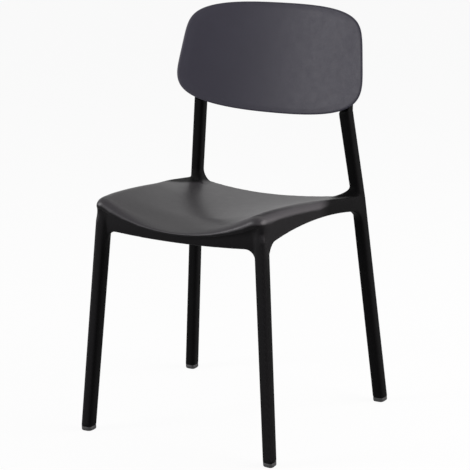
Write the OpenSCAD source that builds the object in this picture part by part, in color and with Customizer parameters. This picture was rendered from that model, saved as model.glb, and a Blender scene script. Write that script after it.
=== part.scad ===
/* [Overall] */
// Height from the floor to the top of the backrest
chair_h = 805; // [793:1:817]
// Height of the seat edge beside the back posts
seat_h = 433; // [422:1:444]
// Width over the side rails beside the back posts
seat_w = 417; // [400:1:430]
// Distance from the front legs back to the posts, at seat height
seat_run = 345; // [333:1:357]
// How much each side of the seat comes in towards the front
seat_narrowing = 10.5; // [6:0.5:14]

/* [Seat] */
// Thickness of the seat sheet
sheet_t = 5; // [4:0.5:6]
// Rise of the seat edge from the posts to the front corners
seat_rise = 44; // [36:1:50]
// Depth of the hollow across the seat at its front
dish_front = 35; // [26:1:38]
// Depth of the hollow across the seat at its rear
dish_rear = 11; // [7:1:16]
// Height of the roll at the front corners
roll_front = 20; // [18:1:22]
// Length of the front roll, from the lip back
roll_depth = 20; // [17:1:23]
// How much each front corner is rounded off sideways
corner_in = 12; // [9:1:15]
// Radius of the side roll where it ends at the lip
roll_end = 2; // [1:1:4]
// Radius of the rolled edge at the middle of each side
roll_mid = 20; // [17:1:22]
// Radius of the rail edge beside the posts
roll_rear = 4; // [3:0.5:6]
// Fall of the seat on its centre line to the front lip
lip_drop = 14; // [11:0.5:16]
// Height of the front lip's face
lip_t = 6; // [5:0.5:7]
// Distance behind the lip at which the seat begins to fall towards it
fall_run = 90; // [70:2:110]
// How far the front lip stands ahead of the front leg line
lip_ahead = 24; // [21:1:27]
// How far the front lip bows forward at its centre
lip_bow = 7; // [4:1:12]
// How far the rear edge stops ahead of the post line at its centre
rear_edge_ahead = 28; // [22:1:34]
// Width of a side rail
rail_w = 20; // [18:0.5:22]
// Height of the highest point of the rail's lower edge below the seat edge at the posts
rail_arch_drop = 6; // [3:0.5:8]
// How far the rail's lower edge falls from its highest point to the posts
rail_arch = 28; // [22:1:32]
// Thickness of the front apron
apron_t = 8; // [6:0.5:10]
// Height of the front apron below the seat edge corners
apron_drop = 72; // [66:0.5:76]

/* [Legs and posts] */
// Thickness of a front leg at seat height
front_leg_w = 26.5; // [25:0.5:28]
// Thickness of a front leg at its foot
front_foot_w = 24.5; // [23:0.5:26]
// Thickness of a rear leg and post at seat height
rear_leg_w = 24; // [23:0.1:26]
// Thickness of a rear leg at its foot
rear_foot_w = 25; // [24:0.1:27]
// How far each front foot stands outside the top of its leg
front_splay = 32; // [24:1:38]
// How far each front foot stands ahead of the top of its leg
front_rake = 58; // [46:1:66]
// How far each rear foot stands outside the base of its post
rear_splay = 39; // [30:1:46]
// How far each rear foot stands ahead of the base of its post
rear_rake = 5; // [0:1:10]
// Height of the leg stretch that the splay is measured on
leg_top_h = 427; // [419:1:435]
// How far each post comes in from the seat to its shoulder
post_in = 22; // [17:0.5:26]
// Radius of the corner between a front leg and the side rail
front_fillet = 19; // [15:1:21]
// Radius of the corner between a front leg and the apron
apron_fillet = 22; // [18:1:24]
// Radius of the corner between a rear leg and the side rail
rear_fillet = 25; // [20:1:28]
// Reach of the hollow curve from a post forward and inward into the seat
post_fillet = 60; // [54:1:66]

/* [Backrest] */
// Width of the backrest at half height, along its curve
back_w = 444.6; // [434:0.2:456]
// Height of the backrest, along its slope
back_len = 225; // [215:1:233]
// Narrowing of the backrest on each side from bottom to top
back_taper = 32.4; // [26:0.2:38]
// Thickness of the backrest shell
back_t = 7; // [6:0.5:8]
// Squareness of the upper edge of the backrest, 2 is an ellipse
back_top_form = 6.3; // [5:0.1:7]
// Squareness of the backrest's sides above half height
back_top_side_form = 3.3; // [3:0.1:3.8]
// Squareness of the lower edge of the backrest
back_low_form = 3.45; // [3.2:0.05:3.7]
// Squareness of the backrest's sides below half height
back_low_side_form = 2.2; // [2.1:0.05:2.4]
// Radius of the backrest curve, seen from above
back_bend_r = 715; // [680:5:760]
// How far the top and bottom edges come forward of the middle
back_dish = 1.2; // [0.6:0.1:2]
// Lean of the backrest from upright, in degrees
back_lean = 14.5; // [12.5:0.1:16.5]
// How far the middle of the backrest stands behind the post line
back_set = 30.4; // [28.4:0.2:32]
// Height of each mounting pad behind the shell, from the shell's back face
pad_t = 5; // [4:0.5:6]
// Width of each mounting pad
pad_w = 24; // [22:0.5:26]
// Length of each mounting pad
pad_len = 76; // [70:1:80]

/* [Fixings] */
// Depth of the post behind its rebate
spine_t = 18; // [17:0.5:19]
// Distance between the two screws of a post
screw_pitch = 44; // [40:1:48]
// Thread diameter of a backrest screw
screw_d = 6; // [5:0.5:6]
// Diameter of a brass insert
insert_d = 9; // [8.5:0.5:10]
// Length of a brass insert
insert_len = 9; // [8:0.5:9.5]
// Diameter of a screw head
head_d = 11; // [10:0.5:11.5]
// Height of a screw head
head_h = 3.8; // [3:0.2:4]
// Diameter of a washer
washer_d = 12.5; // [12:0.1:12.6]
// Thickness of a washer
washer_t = 1.2; // [1:0.1:1.4]
// Diameter of the counterbore for head and washer
counterbore_d = 13; // [12.8:0.1:13.4]
// Depth of the post material under the washer
clamp_t = 8; // [7:0.5:9]
// Diameter of the flange of a screw cover
cover_d = 15; // [14.5:0.1:15.4]
// Height of a foot glide below the leg
glide_h = 9; // [7:0.5:11]
// Diameter of the stem of a foot glide
stem_d = 10; // [9:0.5:11]
// Length of the stem of a foot glide
stem_len = 22; // [18:1:26]
// Diameter of the head of a stacking pad under the seat
buffer_d = 16; // [14:0.5:18]
// Thickness of the head of a stacking pad
buffer_h = 4; // [3:0.5:5]
// Clearance round a part that is pushed into a hole
fit_gap = 0.1; // [0.05:0.05:0.2]

/* [Hidden] */
$fn = 48;
left = -1;
right = 1;
black_plastic = [0.13, 0.13, 0.14];
shell_plastic = [0.27, 0.26, 0.29];
rubber_black = [0.07, 0.07, 0.07];
steel_zinc = [0.72, 0.73, 0.75];
brass_yellow = [0.78, 0.62, 0.30];
cover_black = [0.10, 0.10, 0.11];
thin = seat_w / 4000;

// Places along the chair are first measured back from the centres of the front feet
front_top_y = front_rake;
post_y = front_rake + seat_run;
rear_foot_y = post_y - rear_rake;
outer_rear_x = seat_w / 2;
outer_front_x = outer_rear_x - seat_narrowing;
front_top_x = outer_front_x - front_leg_w / 2;
lip_y = front_top_y - lip_ahead;
rear_top_x = outer_rear_x - rear_leg_w / 2;
front_foot_x = front_top_x + front_splay;
rear_foot_x = rear_top_x + rear_splay;

// The backrest's middle surface: a leaning cylinder, pulled forward at top and bottom
low_width_share = 0.4;
back_half = back_len / 2;
back_mid_y = post_y + back_set;
back_mid_z = chair_h - back_half * cos(back_lean) - back_t / 2 * sin(back_lean);
function bend_deg(u) = u / back_bend_r * 180 / PI;
function back_point(u, v) = [
    back_bend_r * sin(bend_deg(u)),
    back_mid_y - back_bend_r * (1 - cos(bend_deg(u))) + v * sin(back_lean)
        - back_dish * pow(v / back_half, 2),
    back_mid_z + v * cos(back_lean)];
function back_slope(v) = back_lean - atan(2 * back_dish * v / (back_half * back_half));
function back_normal(u, v) = [
    sin(bend_deg(u)) * cos(back_slope(v)),
    cos(bend_deg(u)) * cos(back_slope(v)),
    -sin(back_slope(v))];

// The origin lies on the floor at the centre of the chair's outline from above
rearmost_y = back_point(0, back_half)[1] + back_t / 2;
frontmost_y = -front_foot_w / 2;
centre_y = (rearmost_y + frontmost_y) / 2;

// Fall of the seat edge from the front corners (0) to the posts (1), as a cubic curve
edge_fall_shares = [0.25, 1.35, -0.6];
function run_share(y) = (y - front_top_y) / seat_run;
function fall_share(y) = let(t = max(run_share(y), 0))
    t * (edge_fall_shares[0] + t * (edge_fall_shares[1] + t * edge_fall_shares[2]));
function crest_z(y) = seat_h + seat_rise * (1 - fall_share(y));
function lip_fall(y) = lip_drop * pow(max(1 - (y - lip_y) / fall_run, 0), 2);
function dish(y) = dish_front + (dish_rear - dish_front) * fall_share(y) + lip_fall(y);
function outer_x(y) = outer_front_x + (outer_rear_x - outer_front_x) * run_share(y);

// The side roll narrows slowly to the middle of the seat, then fades into the rail
roll_fade_start = 0.5;
roll_fade_end = 0.79;
function smooth_share(t) = let(c = min(max(t, 0), 1)) c * c * (3 - 2 * c);
function roll_r(y) = let(t = run_share(y))
    t < roll_fade_start
    ? roll_front + (roll_mid - roll_front) * max(t, 0) / roll_fade_start
    : roll_mid + (roll_rear - roll_mid)
        * smooth_share((t - roll_fade_start) / (roll_fade_end - roll_fade_start));

// Places between legs and panels, and the corner curves that join them
arch_top_share = 0.38;
leg_flat_share = 0.49;
front_fillet_z = seat_h - rail_arch_drop - front_fillet
    - rail_arch * pow(arch_top_share / (1 - arch_top_share), 2);
front_leg_rear_y = front_top_y + front_leg_w * leg_flat_share
    - front_rake * (leg_top_h - front_fillet_z) / leg_top_h;
post_front_y = post_y - rear_leg_w * leg_flat_share;
function panel_low(y) = seat_h - rail_arch_drop
    - rail_arch * pow((run_share(y) - arch_top_share) / (1 - arch_top_share), 2);
function corner_drop(d, r) = d >= r ? 0 : r - sqrt(r * r - pow(r - max(d, 0), 2));
function rail_low(y) = panel_low(y) - corner_drop(y - front_leg_rear_y, front_fillet)
    - corner_drop(post_front_y - y, rear_fillet);

// Rows of the seat sheet: a quarter turn up from the front lip, then back to the posts
roll_steps = 7;
side_steps = 6;
across_steps = 12;
run_steps = 20;
function turn_deg(j) = 90 * min(j, roll_steps) / roll_steps;
sheet_start_y = lip_y + roll_depth;
sheet_end_y = post_y + rear_leg_w / 4;
function row_y(j) = j <= roll_steps
    ? lip_y + roll_depth * (1 - cos(turn_deg(j)))
    : sheet_start_y + (sheet_end_y - sheet_start_y) * (j - roll_steps) / run_steps;
function row_tuck(j) = 1 - sin(turn_deg(j));
function row_fall(j) = (roll_front - roll_end) * row_tuck(j);
function row_r(j) = roll_r(row_y(j)) - row_fall(j);
function row_arc_x(j) = outer_x(max(row_y(j), sheet_start_y)) - row_r(j)
    - corner_in * row_tuck(j);
function row_crest(j) = crest_z(row_y(j)) - row_fall(j);
function row_dish(j) = dish(row_y(j)) - row_fall(j);
function row_tilt(j) = atan(2 * row_dish(j) / row_arc_x(j));
function front_shift(x) = lip_bow * pow(x / outer_front_x, 2);
function rear_shift(x) = -rear_edge_ahead * (1 - min(pow(x / rear_top_x, 2), 1));
function placed_y(x, y) = let(t = (y - lip_y) / (post_y - lip_y))
    y + front_shift(x) * (1 - t) + rear_shift(x) * t;

// Points of one row of the sheet, from the right side roll to the middle of the seat
function roll_pt(j, phi, inset) = let(r = max(row_r(j) - inset, thin))
    [row_arc_x(j) + r * sin(phi), row_crest(j) - row_r(j) + r * cos(phi)];
function joint_pt(j) = roll_pt(j, -row_tilt(j), 0);
function across_z(j, x) = let(p = joint_pt(j), low = row_crest(j) - row_dish(j))
    low + (p[1] - low) * pow(x / p[0], 2);
function placed(j, x, z) = [x, placed_y(x, row_y(j)) - centre_y, z];
function side_phi(j, i) = 90 - (90 + row_tilt(j)) * i / side_steps;
function half_row(j, inset) = concat(
    [for (i = [0 : side_steps]) let(p = roll_pt(j, side_phi(j, i), inset))
        placed(j, p[0], p[1] - inset * lip_t / sheet_t * row_tuck(j) * sin(side_phi(j, i)))],
    [for (i = [1 : across_steps / 2]) let(x = joint_pt(j)[0] * (1 - 2 * i / across_steps))
        placed(j, x, across_z(j, x) - inset * (1 + (lip_t / sheet_t - 1) * row_tuck(j)))]);
function flip_x(p) = [-p[0], p[1], p[2]];
function whole_row(half) = concat(half, [for (i = [len(half) - 2 : -1 : 0]) flip_x(half[i])]);
function sheet_grid(inset) =
    [for (j = [0 : roll_steps + run_steps]) whole_row(half_row(j, inset))];

// Height of the sheet's upper face behind the front roll
function sheet_z(x, y) = let(r = roll_r(y), d = dish(y), arc_x = outer_x(y) - r,
    tilt = atan(2 * d / arc_x), jx = arc_x - r * sin(tilt), jz = crest_z(y) - r + r * cos(tilt),
    low = crest_z(y) - d)
    low + (jz - low) * pow(min(abs(x) / jx, 1), 2);

// Closes two equal grids of points into one solid; the first grid is its outer face
module slab(outer_grid, inner_grid) {
    rows = len(outer_grid);
    cols = len(outer_grid[0]);
    shift = rows * cols;
    points = concat([for (r = outer_grid) each r], [for (r = inner_grid) each r]);
    faces = concat(
        [for (j = [0 : rows - 2], i = [0 : cols - 2], h = [0, 1]) let(a = j * cols + i)
            h == 0 ? [a, a + 1, a + cols] : [a + 1, a + cols + 1, a + cols]],
        [for (j = [0 : rows - 2], i = [0 : cols - 2], h = [0, 1]) let(a = shift + j * cols + i)
            h == 0 ? [a, a + cols, a + 1] : [a + 1, a + cols, a + cols + 1]],
        [for (i = [0 : cols - 2], h = [0, 1]) let(a = i, b = shift + i)
            h == 0 ? [a, b, a + 1] : [a + 1, b, b + 1]],
        [for (i = [0 : cols - 2], h = [0, 1]) let(a = (rows - 1) * cols + i, b = shift + a)
            h == 0 ? [a, a + 1, b] : [a + 1, b + 1, b]],
        [for (j = [0 : rows - 2], h = [0, 1]) let(a = j * cols, b = shift + a)
            h == 0 ? [a, a + cols, b] : [a + cols, b + cols, b]],
        [for (j = [0 : rows - 2], h = [0, 1]) let(a = j * cols + cols - 1, b = shift + a)
            h == 0 ? [a, b, a + cols] : [a + cols, b, b + cols]]);
    polyhedron(points = points, faces = faces, convexity = 6);
}

module seat_sheet() {
    slab(sheet_grid(0), sheet_grid(sheet_t));
}

// Ribs under the sheet: thin upright webs that follow its lower face
rib_t = sheet_t / 2;
rib_depth = sheet_t * 2;
rib_steps = 8;
rib_across_shares = [-0.6, -0.2, 0.2, 0.6];
rib_along_shares = [0.22, 0.51, 0.80];
rib_reach = rear_top_x - rail_w / 2;
rib_end_shares = [0.12, 0.86];
function rib_col(x, y) = let(z = sheet_z(x, y) - sheet_t)
    [[x, y - centre_y, z - rib_depth], [x, y - centre_y, z + sheet_t / 2]];
function rib_run_y(k) = front_top_y + seat_run
    * (rib_end_shares[0] + (rib_end_shares[1] - rib_end_shares[0]) * k / rib_steps);
module seat_ribs() {
    for (s = rib_along_shares) {
        y = front_top_y + s * seat_run;
        xs = [for (k = [0 : rib_steps]) rib_reach * (2 * k / rib_steps - 1)];
        slab([for (x = xs) rib_col(x, y - rib_t / 2)], [for (x = xs) rib_col(x, y + rib_t / 2)]);
    }
    for (s = rib_across_shares) {
        x = s * rear_top_x;
        slab([for (k = [0 : rib_steps]) rib_col(x + rib_t / 2, rib_run_y(k))],
            [for (k = [0 : rib_steps]) rib_col(x - rib_t / 2, rib_run_y(k))]);
    }
}

// Side rail and panel: an upright band from its lower edge up into the sheet
edge_steps = 3;
rail_up_steps = 4;
roll_seat_angles = [30, 60];
edge_mid_share = 0.25;
edge_leg_share = 0.32;
leg_draw_share = 0.16;
corner_steps = 6;
rail_steps = 12;
rail_mid_start = front_leg_rear_y + front_fillet;
rail_mid_end = post_front_y - rear_fillet;
rail_rows = concat([front_top_y],
    [for (k = [0 : corner_steps - 1]) front_leg_rear_y
        + front_fillet * (1 - cos(90 * k / corner_steps))],
    [for (k = [0 : rail_steps]) rail_mid_start + (rail_mid_end - rail_mid_start) * k / rail_steps],
    [for (k = [1 : corner_steps]) post_front_y - rear_fillet * (1 - sin(90 * k / corner_steps))],
    [post_y]);
function corner_share(y) = max(corner_drop(y - front_leg_rear_y, front_fillet) / front_fillet,
    corner_drop(post_front_y - y, rear_fillet) / rear_fillet);
function edge_r(y) = rail_w * (edge_mid_share + (edge_leg_share - edge_mid_share) * corner_share(y));
function rail_top_out(y) = crest_z(y) - roll_r(y) + thin;
function rail_top_in(y) = sheet_z(outer_x(y) - rail_w, y) - sheet_t / 2;
rail_swell_share = 1.3;
function legs_x(y, z) = let(t = run_share(y))
    (front_at(z)[0] + front_leg_w / 2) * (1 - t) + (rear_at(z)[0] + rear_leg_w / 2) * t;
function rail_swell(y, z) = (outer_x(y) - legs_x(y, rail_top_out(y)))
    * (1 - smooth_share((rail_top_out(y) - z) / (rail_swell_share * roll_front)));
function leg_draw(y, z) = rail_w * leg_draw_share * pow(corner_share(y), 2)
    * (1 - smooth_share((z - rail_low(y)) / front_fillet));
function rail_pt(y, in, dir, z) =
    [legs_x(y, z) + rail_swell(y, z) - in - dir * leg_draw(y, z), y - centre_y, z];
function rail_edge(y, in, dir) = [for (k = [0 : edge_steps]) let(a = 90 * k / edge_steps)
    rail_pt(y, in + dir * edge_r(y) * (1 - sin(a)), dir, rail_low(y) + edge_r(y) * (1 - cos(a)))];
function rail_wall(y, in, dir, z_top, steps) = let(z_low = rail_low(y) + edge_r(y))
    [for (k = [1 : steps]) rail_pt(y, in, dir, z_low + (z_top - z_low) * k / steps)];
function rail_roll(y) = let(r = roll_r(y) - sheet_t / 2) [for (a = roll_seat_angles)
    [outer_x(y) - roll_r(y) + r * cos(a), y - centre_y, rail_top_out(y) + r * sin(a)]];
module side_rail(side) {
    mirror([side == left ? 1 : 0, 0, 0])
        slab([for (y = rail_rows) concat(rail_edge(y, thin, 1),
                rail_wall(y, thin, 1, rail_top_out(y), rail_up_steps), rail_roll(y))],
            [for (y = rail_rows) concat(rail_edge(y, rail_w, -1),
                rail_wall(y, rail_w, -1, rail_top_in(y), rail_up_steps + len(roll_seat_angles)))]);
}

// Front apron: a thin wall behind the lip, curving down into both front legs
apron_set_back_share = 0.3;
apron_rise_share = 0.85;
apron_top_share = 0.7;
apron_set_back = front_leg_w * apron_set_back_share;
apron_y = front_top_y - apron_set_back;
apron_rise = lip_bow * apron_rise_share;
apron_steps = 12;
apron_tuck = sheet_t / 2;
leg_lean_x = front_splay / leg_top_h;
leg_lean_y = front_rake / leg_top_h;
apron_low_z = seat_h + seat_rise - apron_drop;
apron_end_x = front_top_x + (leg_top_h - apron_low_z) * leg_lean_x - front_leg_w / 2;
apron_xs = concat([-front_top_x],
    [for (k = [0 : corner_steps - 1]) -apron_end_x + apron_fillet * (1 - cos(90 * k / corner_steps))],
    [for (k = [0 : apron_steps]) (apron_end_x - apron_fillet) * (2 * k / apron_steps - 1)],
    [for (k = [1 : corner_steps]) apron_end_x - apron_fillet * (1 - sin(90 * k / corner_steps))],
    [front_top_x]);
function apron_low(x) = apron_low_z + apron_rise * pow(x / front_top_x, 2)
    - corner_drop(apron_end_x - abs(x), apron_fillet);
function apron_face_y(x) = apron_y + lip_bow * (pow(x / front_top_x, 2) - 1) - centre_y;
function apron_col(x, back) = [
    [x, apron_face_y(x) + back, apron_low(x)],
    [x, apron_face_y(x) + back,
        sheet_z(x, apron_y + back) - sheet_t * apron_top_share
            - apron_tuck * pow(x / front_top_x, 4)]];
module front_apron() {
    slab([for (x = apron_xs) apron_col(x, 0)], [for (x = apron_xs) apron_col(x, apron_t)]);
}

// Legs and posts: lofts through rings of a rounded square
ring_steps = 24;
square_form = 3.5;
front_skew = 0.065;
rear_skew = -0.033;
function signed_power(v, p) = (v < 0 ? -1 : 1) * pow(abs(v), p);
function ring_pt(w, a, skew) = let(x = w / 2 * signed_power(cos(a), 2 / square_form),
    y = w / 2 * signed_power(sin(a), 2 / square_form)) [x - skew * y, y - skew * x];
function ring(c, w, skew, tilt) = [for (k = [0 : ring_steps - 1])
    let(p = ring_pt(w, 360 * k / ring_steps, skew))
    [c[0] + p[0], c[1] + p[1] - centre_y, c[2] + p[0] * tan(tilt)]];
module loft(rings) {
    n = len(rings[0]);
    top = (len(rings) - 1) * n;
    polyhedron(points = [for (r = rings) each r], faces = concat(
        [for (k = [1 : n - 2]) [0, k, k + 1]],
        [for (k = [1 : n - 2]) [top, top + k + 1, top + k]],
        [for (j = [0 : n : top - n], k = [0 : n - 1]) [j + k, j + n + k, j + (k + 1) % n]],
        [for (j = [0 : n : top - n], k = [0 : n - 1])
            [j + (k + 1) % n, j + n + k, j + n + (k + 1) % n]]));
}

front_leg_end_z = seat_h + seat_rise - roll_front;
crown_shares = [[1.2, 0.85], [2.4, 0.5]];
function front_at(z) = let(up = (z - leg_top_h) / leg_top_h)
    [front_top_x + front_splay * -up, front_top_y + front_rake * up, z];
function rear_at(z) = let(up = (z - leg_top_h) / leg_top_h)
    [rear_top_x + rear_splay * -up, post_y + rear_rake * up, z];
shoulder_gap_share = 0.5;
shoulder_gap = back_t * shoulder_gap_share;
shoulder_tilt = 20;
shoulder_z = back_mid_z + back_low_v(rear_top_x - post_in) * cos(back_lean) - shoulder_gap;
post_in_slope = post_in / (shoulder_z - leg_top_h);
module front_leg(side) {
    mirror([side == left ? 1 : 0, 0, 0])
        loft([ring(front_at(glide_h), front_foot_w, front_skew, 0),
            ring(front_at(front_leg_end_z), front_leg_w, front_skew, 0),
            for (c = crown_shares)
                ring(front_at(front_leg_end_z + sheet_t * c[0]), front_leg_w * c[1], front_skew, 0)]);
}
module rear_leg(side) {
    mirror([side == left ? 1 : 0, 0, 0]) {
        loft([ring(rear_at(glide_h), rear_foot_w, rear_skew, 0),
            ring(rear_at(leg_top_h), rear_leg_w, rear_skew, 0),
            ring([rear_top_x - post_in, post_y, shoulder_z], rear_leg_w, rear_skew,
                shoulder_tilt)]);
        hull() {
            loft([ring([rear_top_x - post_in, post_y, shoulder_z - thin],
                    rear_leg_w, rear_skew, shoulder_tilt),
                ring([rear_top_x - post_in, post_y, shoulder_z], rear_leg_w, rear_skew,
                    shoulder_tilt)]);
            at_spine()
                spine_slice(-spine_low);
        }
        hull()
            at_spine() {
                spine_slice(-spine_low);
                spine_slice(spine_high - spine_end_r);
                translate([0, -spine_high + spine_end_r, 0])
                    intersection() {
                        cylinder(r = rear_leg_w / 2 - spine_round / 2, h = spine_t);
                        translate([-rear_leg_w, -rear_leg_w, 0])
                            cube([2 * rear_leg_w, rear_leg_w, spine_t]);
                    }
            }
    }
}

// Foot of a post: it swells inward and forward into the seat over a hollow curve
flare_steps = 6;
flare_rise_share = 0.34;
flare_rear_share = 0.65;
flare_sink_share = 0.2;
flare_rise = post_fillet * flare_rise_share;
flare_sink = sheet_t * flare_sink_share;
flare_shift = (crest_z(post_y) - leg_top_h) * post_in_slope;
function flare_reach(h) = post_fillet * (1 - sqrt(1 - pow(1 - h / flare_rise, 2)));
function flare_pt(h, a) = let(p = ring_pt(rear_leg_w, a, rear_skew),
    inner = (0.5 - p[0] / rear_leg_w) * flare_reach(h),
    fore = flare_rear_share + (1 - flare_rear_share) * (0.5 - p[1] / rear_leg_w),
    x = rear_top_x + p[0] - inner - flare_shift - h * post_in_slope,
    y = post_y + p[1] - inner * fore)
    [x, y - centre_y, sheet_z(x, y - rear_shift(x)) - flare_sink + h];
function flare_ring(h) = [for (k = [0 : ring_steps - 1]) flare_pt(h, 360 * k / ring_steps)];
module post_flare(side) {
    mirror([side == left ? 1 : 0, 0, 0])
        loft([for (k = [0 : flare_steps]) flare_ring(flare_rise * (1 - cos(90 * k / flare_steps)))]);
}

// Mounting frame of a post: x across the post, -y up the slope, z back from the rebate
function back_low_v(x) = let(half = back_w / 2 + back_taper * low_width_share,
    c = pow(min(x / half, 1), back_low_side_form / 2))
    -back_half * pow(1 - c * c, 1 / back_low_form);
mount_v_share = -0.41;
mount_v = mount_v_share * back_half;
mount_x = rear_top_x - post_in - post_in_slope * (back_mid_z + mount_v - shoulder_z);
mount_u = asin(mount_x / back_bend_r) / 180 * PI * back_bend_r;
spine_tilt = atan(post_in_slope);
spine_len_share = 0.58;
spine_round_share = 0.3;
spine_low = pad_len * spine_len_share;
spine_high = pad_len * spine_len_share;
spine_round = rear_leg_w * spine_round_share;
spine_end_r = rear_leg_w / 2;
module at_spine() {
    translate(back_point(mount_u, mount_v) + (back_t / 2 + pad_t) * back_normal(mount_u, mount_v)
        - [0, centre_y, 0])
        rotate([0, 0, -bend_deg(mount_u)])
            rotate([-90 - back_slope(mount_v), 0, 0])
                rotate([0, 0, -spine_tilt])
                    children();
}
module at_screws(side, row) {
    mirror([side == left ? 1 : 0, 0, 0])
        at_spine()
            translate([0, -row * screw_pitch / 2, 0])
                children();
}
module spine_slice(q) {
    translate([-rear_leg_w / 2, -q, 0])
        cube([rear_leg_w, thin, spine_t - spine_round]);
    translate([-rear_leg_w / 2 + spine_round, -q, 0])
        cube([rear_leg_w - 2 * spine_round, thin, spine_t]);
    translate([-rear_leg_w / 2 + spine_round * spine_round_share, -q, 0])
        cube([rear_leg_w - 2 * spine_round * spine_round_share, thin,
            spine_t - spine_round * spine_round_share]);
}

// Bosses for the stacking pads under the sheet
boss_d_share = 0.95;
boss_h_share = 3.2;
buffer_stem_share = 0.4;
buffer_stem_len_share = 0.7;
buffer_hole_share = 1.1;
buffer_x_share = 0.74;
buffer_run_shares = [0.22, 0.80];
boss_d = buffer_d * boss_d_share;
boss_h = buffer_h * boss_h_share;
boss_sides = 24;
buffer_stem_d = buffer_d * buffer_stem_share;
buffer_stem_len = boss_h * buffer_stem_len_share;
buffer_x = rear_top_x * buffer_x_share;
function buffer_y(k) = front_top_y + buffer_run_shares[k] * seat_run;
function buffer_face_z(k) = sheet_z(buffer_x, buffer_y(k)) - sheet_t - boss_h;
module at_buffer(side, k) {
    translate([side * buffer_x, buffer_y(k) - centre_y, buffer_face_z(k)])
        children();
}

// Bores of the frame, each a little larger or longer than the part it takes
screw_hole_share = 1.08;
cover_recess_share = 0.17;
stem_hole_share = 1.05;
screw_hole_d = screw_d * screw_hole_share;
cover_recess = spine_t * cover_recess_share;
cover_floor = spine_t - cover_recess;
stem_hole_len = stem_len * stem_hole_share;
module seat_frame() {
    color(black_plastic)
        difference() {
            union() {
                seat_sheet();
                seat_ribs();
                side_rail(left);
                side_rail(right);
                front_apron();
                front_leg(left);
                front_leg(right);
                rear_leg(left);
                rear_leg(right);
                post_flare(left);
                post_flare(right);
                for (side = [left, right], k = [0, 1])
                    at_buffer(side, k)
                        cylinder(d = boss_d, h = boss_h + sheet_t / 2, $fn = boss_sides);
            }
            for (side = [left, right]) {
                translate([side * front_at(glide_h)[0], front_at(glide_h)[1] - centre_y,
                    glide_h - thin])
                    cylinder(d = stem_d, h = stem_hole_len);
                translate([side * rear_at(glide_h)[0], rear_at(glide_h)[1] - centre_y,
                    glide_h - thin])
                    cylinder(d = stem_d, h = stem_hole_len);
                for (k = [0, 1])
                    at_buffer(side, k)
                        translate([0, 0, -thin])
                            cylinder(d = buffer_stem_d, h = buffer_stem_len * buffer_hole_share);
                for (row = [-1, 1])
                    at_screws(side, row) {
                        translate([0, 0, -rear_leg_w])
                            cylinder(d = screw_hole_d, h = 2 * rear_leg_w);
                        translate([0, 0, clamp_t])
                            cylinder(d = counterbore_d, h = rear_leg_w);
                        translate([0, 0, cover_floor])
                            cylinder(d = cover_d + 2 * fit_gap, h = rear_leg_w);
                    }
            }
        }
}

// Backrest: a shell between two curved faces inside a rounded outline, with two pads
outline_steps = 56;
ring_shares = [0.25, 0.5, 0.75, 0.9, 1];
rim_t_share = 0.62;
rim_t = back_t * rim_t_share;
function outline_uv(a, share) = let(upper = sin(a) >= 0,
    form = upper ? back_top_form : back_low_form,
    side_form = upper ? back_top_side_form : back_low_side_form,
    v = share * back_half * signed_power(sin(a), 2 / form),
    half = back_w / 2 - back_taper * v / share / back_len)
    [share * half * signed_power(cos(a), 2 / side_form), v];
function shell_t(share) = share < 1 ? back_t : rim_t;
function shell_pt(a, share, side) = let(p = outline_uv(a, share))
    back_point(p[0], p[1]) + side * shell_t(share) / 2 * back_normal(p[0], p[1]) - [0, centre_y, 0];
module back_shell() {
    n = outline_steps;
    m = len(ring_shares);
    face_size = 1 + n * m;
    points = [for (side = [-1, 1])
        each concat([back_point(0, 0) + side * back_t / 2 * back_normal(0, 0) - [0, centre_y, 0]],
            [for (share = ring_shares, k = [0 : n - 1]) shell_pt(360 * k / n, share, side)])];
    front_faces = concat(
        [for (k = [0 : n - 1]) [0, 1 + (k + 1) % n, 1 + k]],
        [for (r = [0 : m - 2], k = [0 : n - 1], h = [0, 1])
            let(a = 1 + r * n + k, b = 1 + r * n + (k + 1) % n)
            h == 0 ? [a, b, a + n] : [b, b + n, a + n]]);
    back_faces = [for (f = front_faces) [f[2] + face_size, f[1] + face_size, f[0] + face_size]];
    rim_faces = [for (k = [0 : n - 1], h = [0, 1])
        let(a = 1 + (m - 1) * n + k, b = 1 + (m - 1) * n + (k + 1) % n)
        h == 0 ? [a, b, a + face_size] : [b, b + face_size, a + face_size]];
    polyhedron(points = points, faces = concat(front_faces, back_faces, rim_faces), convexity = 4);
}
module pad_outline() {
    r = pad_w / 4;
    square([pad_w - 2 * r, pad_len], center = true);
    square([pad_w, pad_len - 2 * r], center = true);
    for (x = [-1, 1], y = [-1, 1])
        translate([x * (pad_w / 2 - r), y * (pad_len / 2 - r)])
            circle(r = r);
}
insert_hole_share = 1.03;
insert_hole_len = insert_len * insert_hole_share;
module backrest() {
    color(shell_plastic)
        difference() {
            union() {
                back_shell();
                for (side = [left, right])
                    at_screws(side, 0)
                        translate([0, 0, -pad_t - back_t / 2])
                            linear_extrude(pad_t + back_t / 2)
                                pad_outline();
            }
            for (side = [left, right], row = [-1, 1])
                at_screws(side, row)
                    translate([0, 0, -insert_hole_len])
                        cylinder(d = insert_d + 2 * fit_gap, h = insert_hole_len + pad_t);
        }
}

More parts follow.
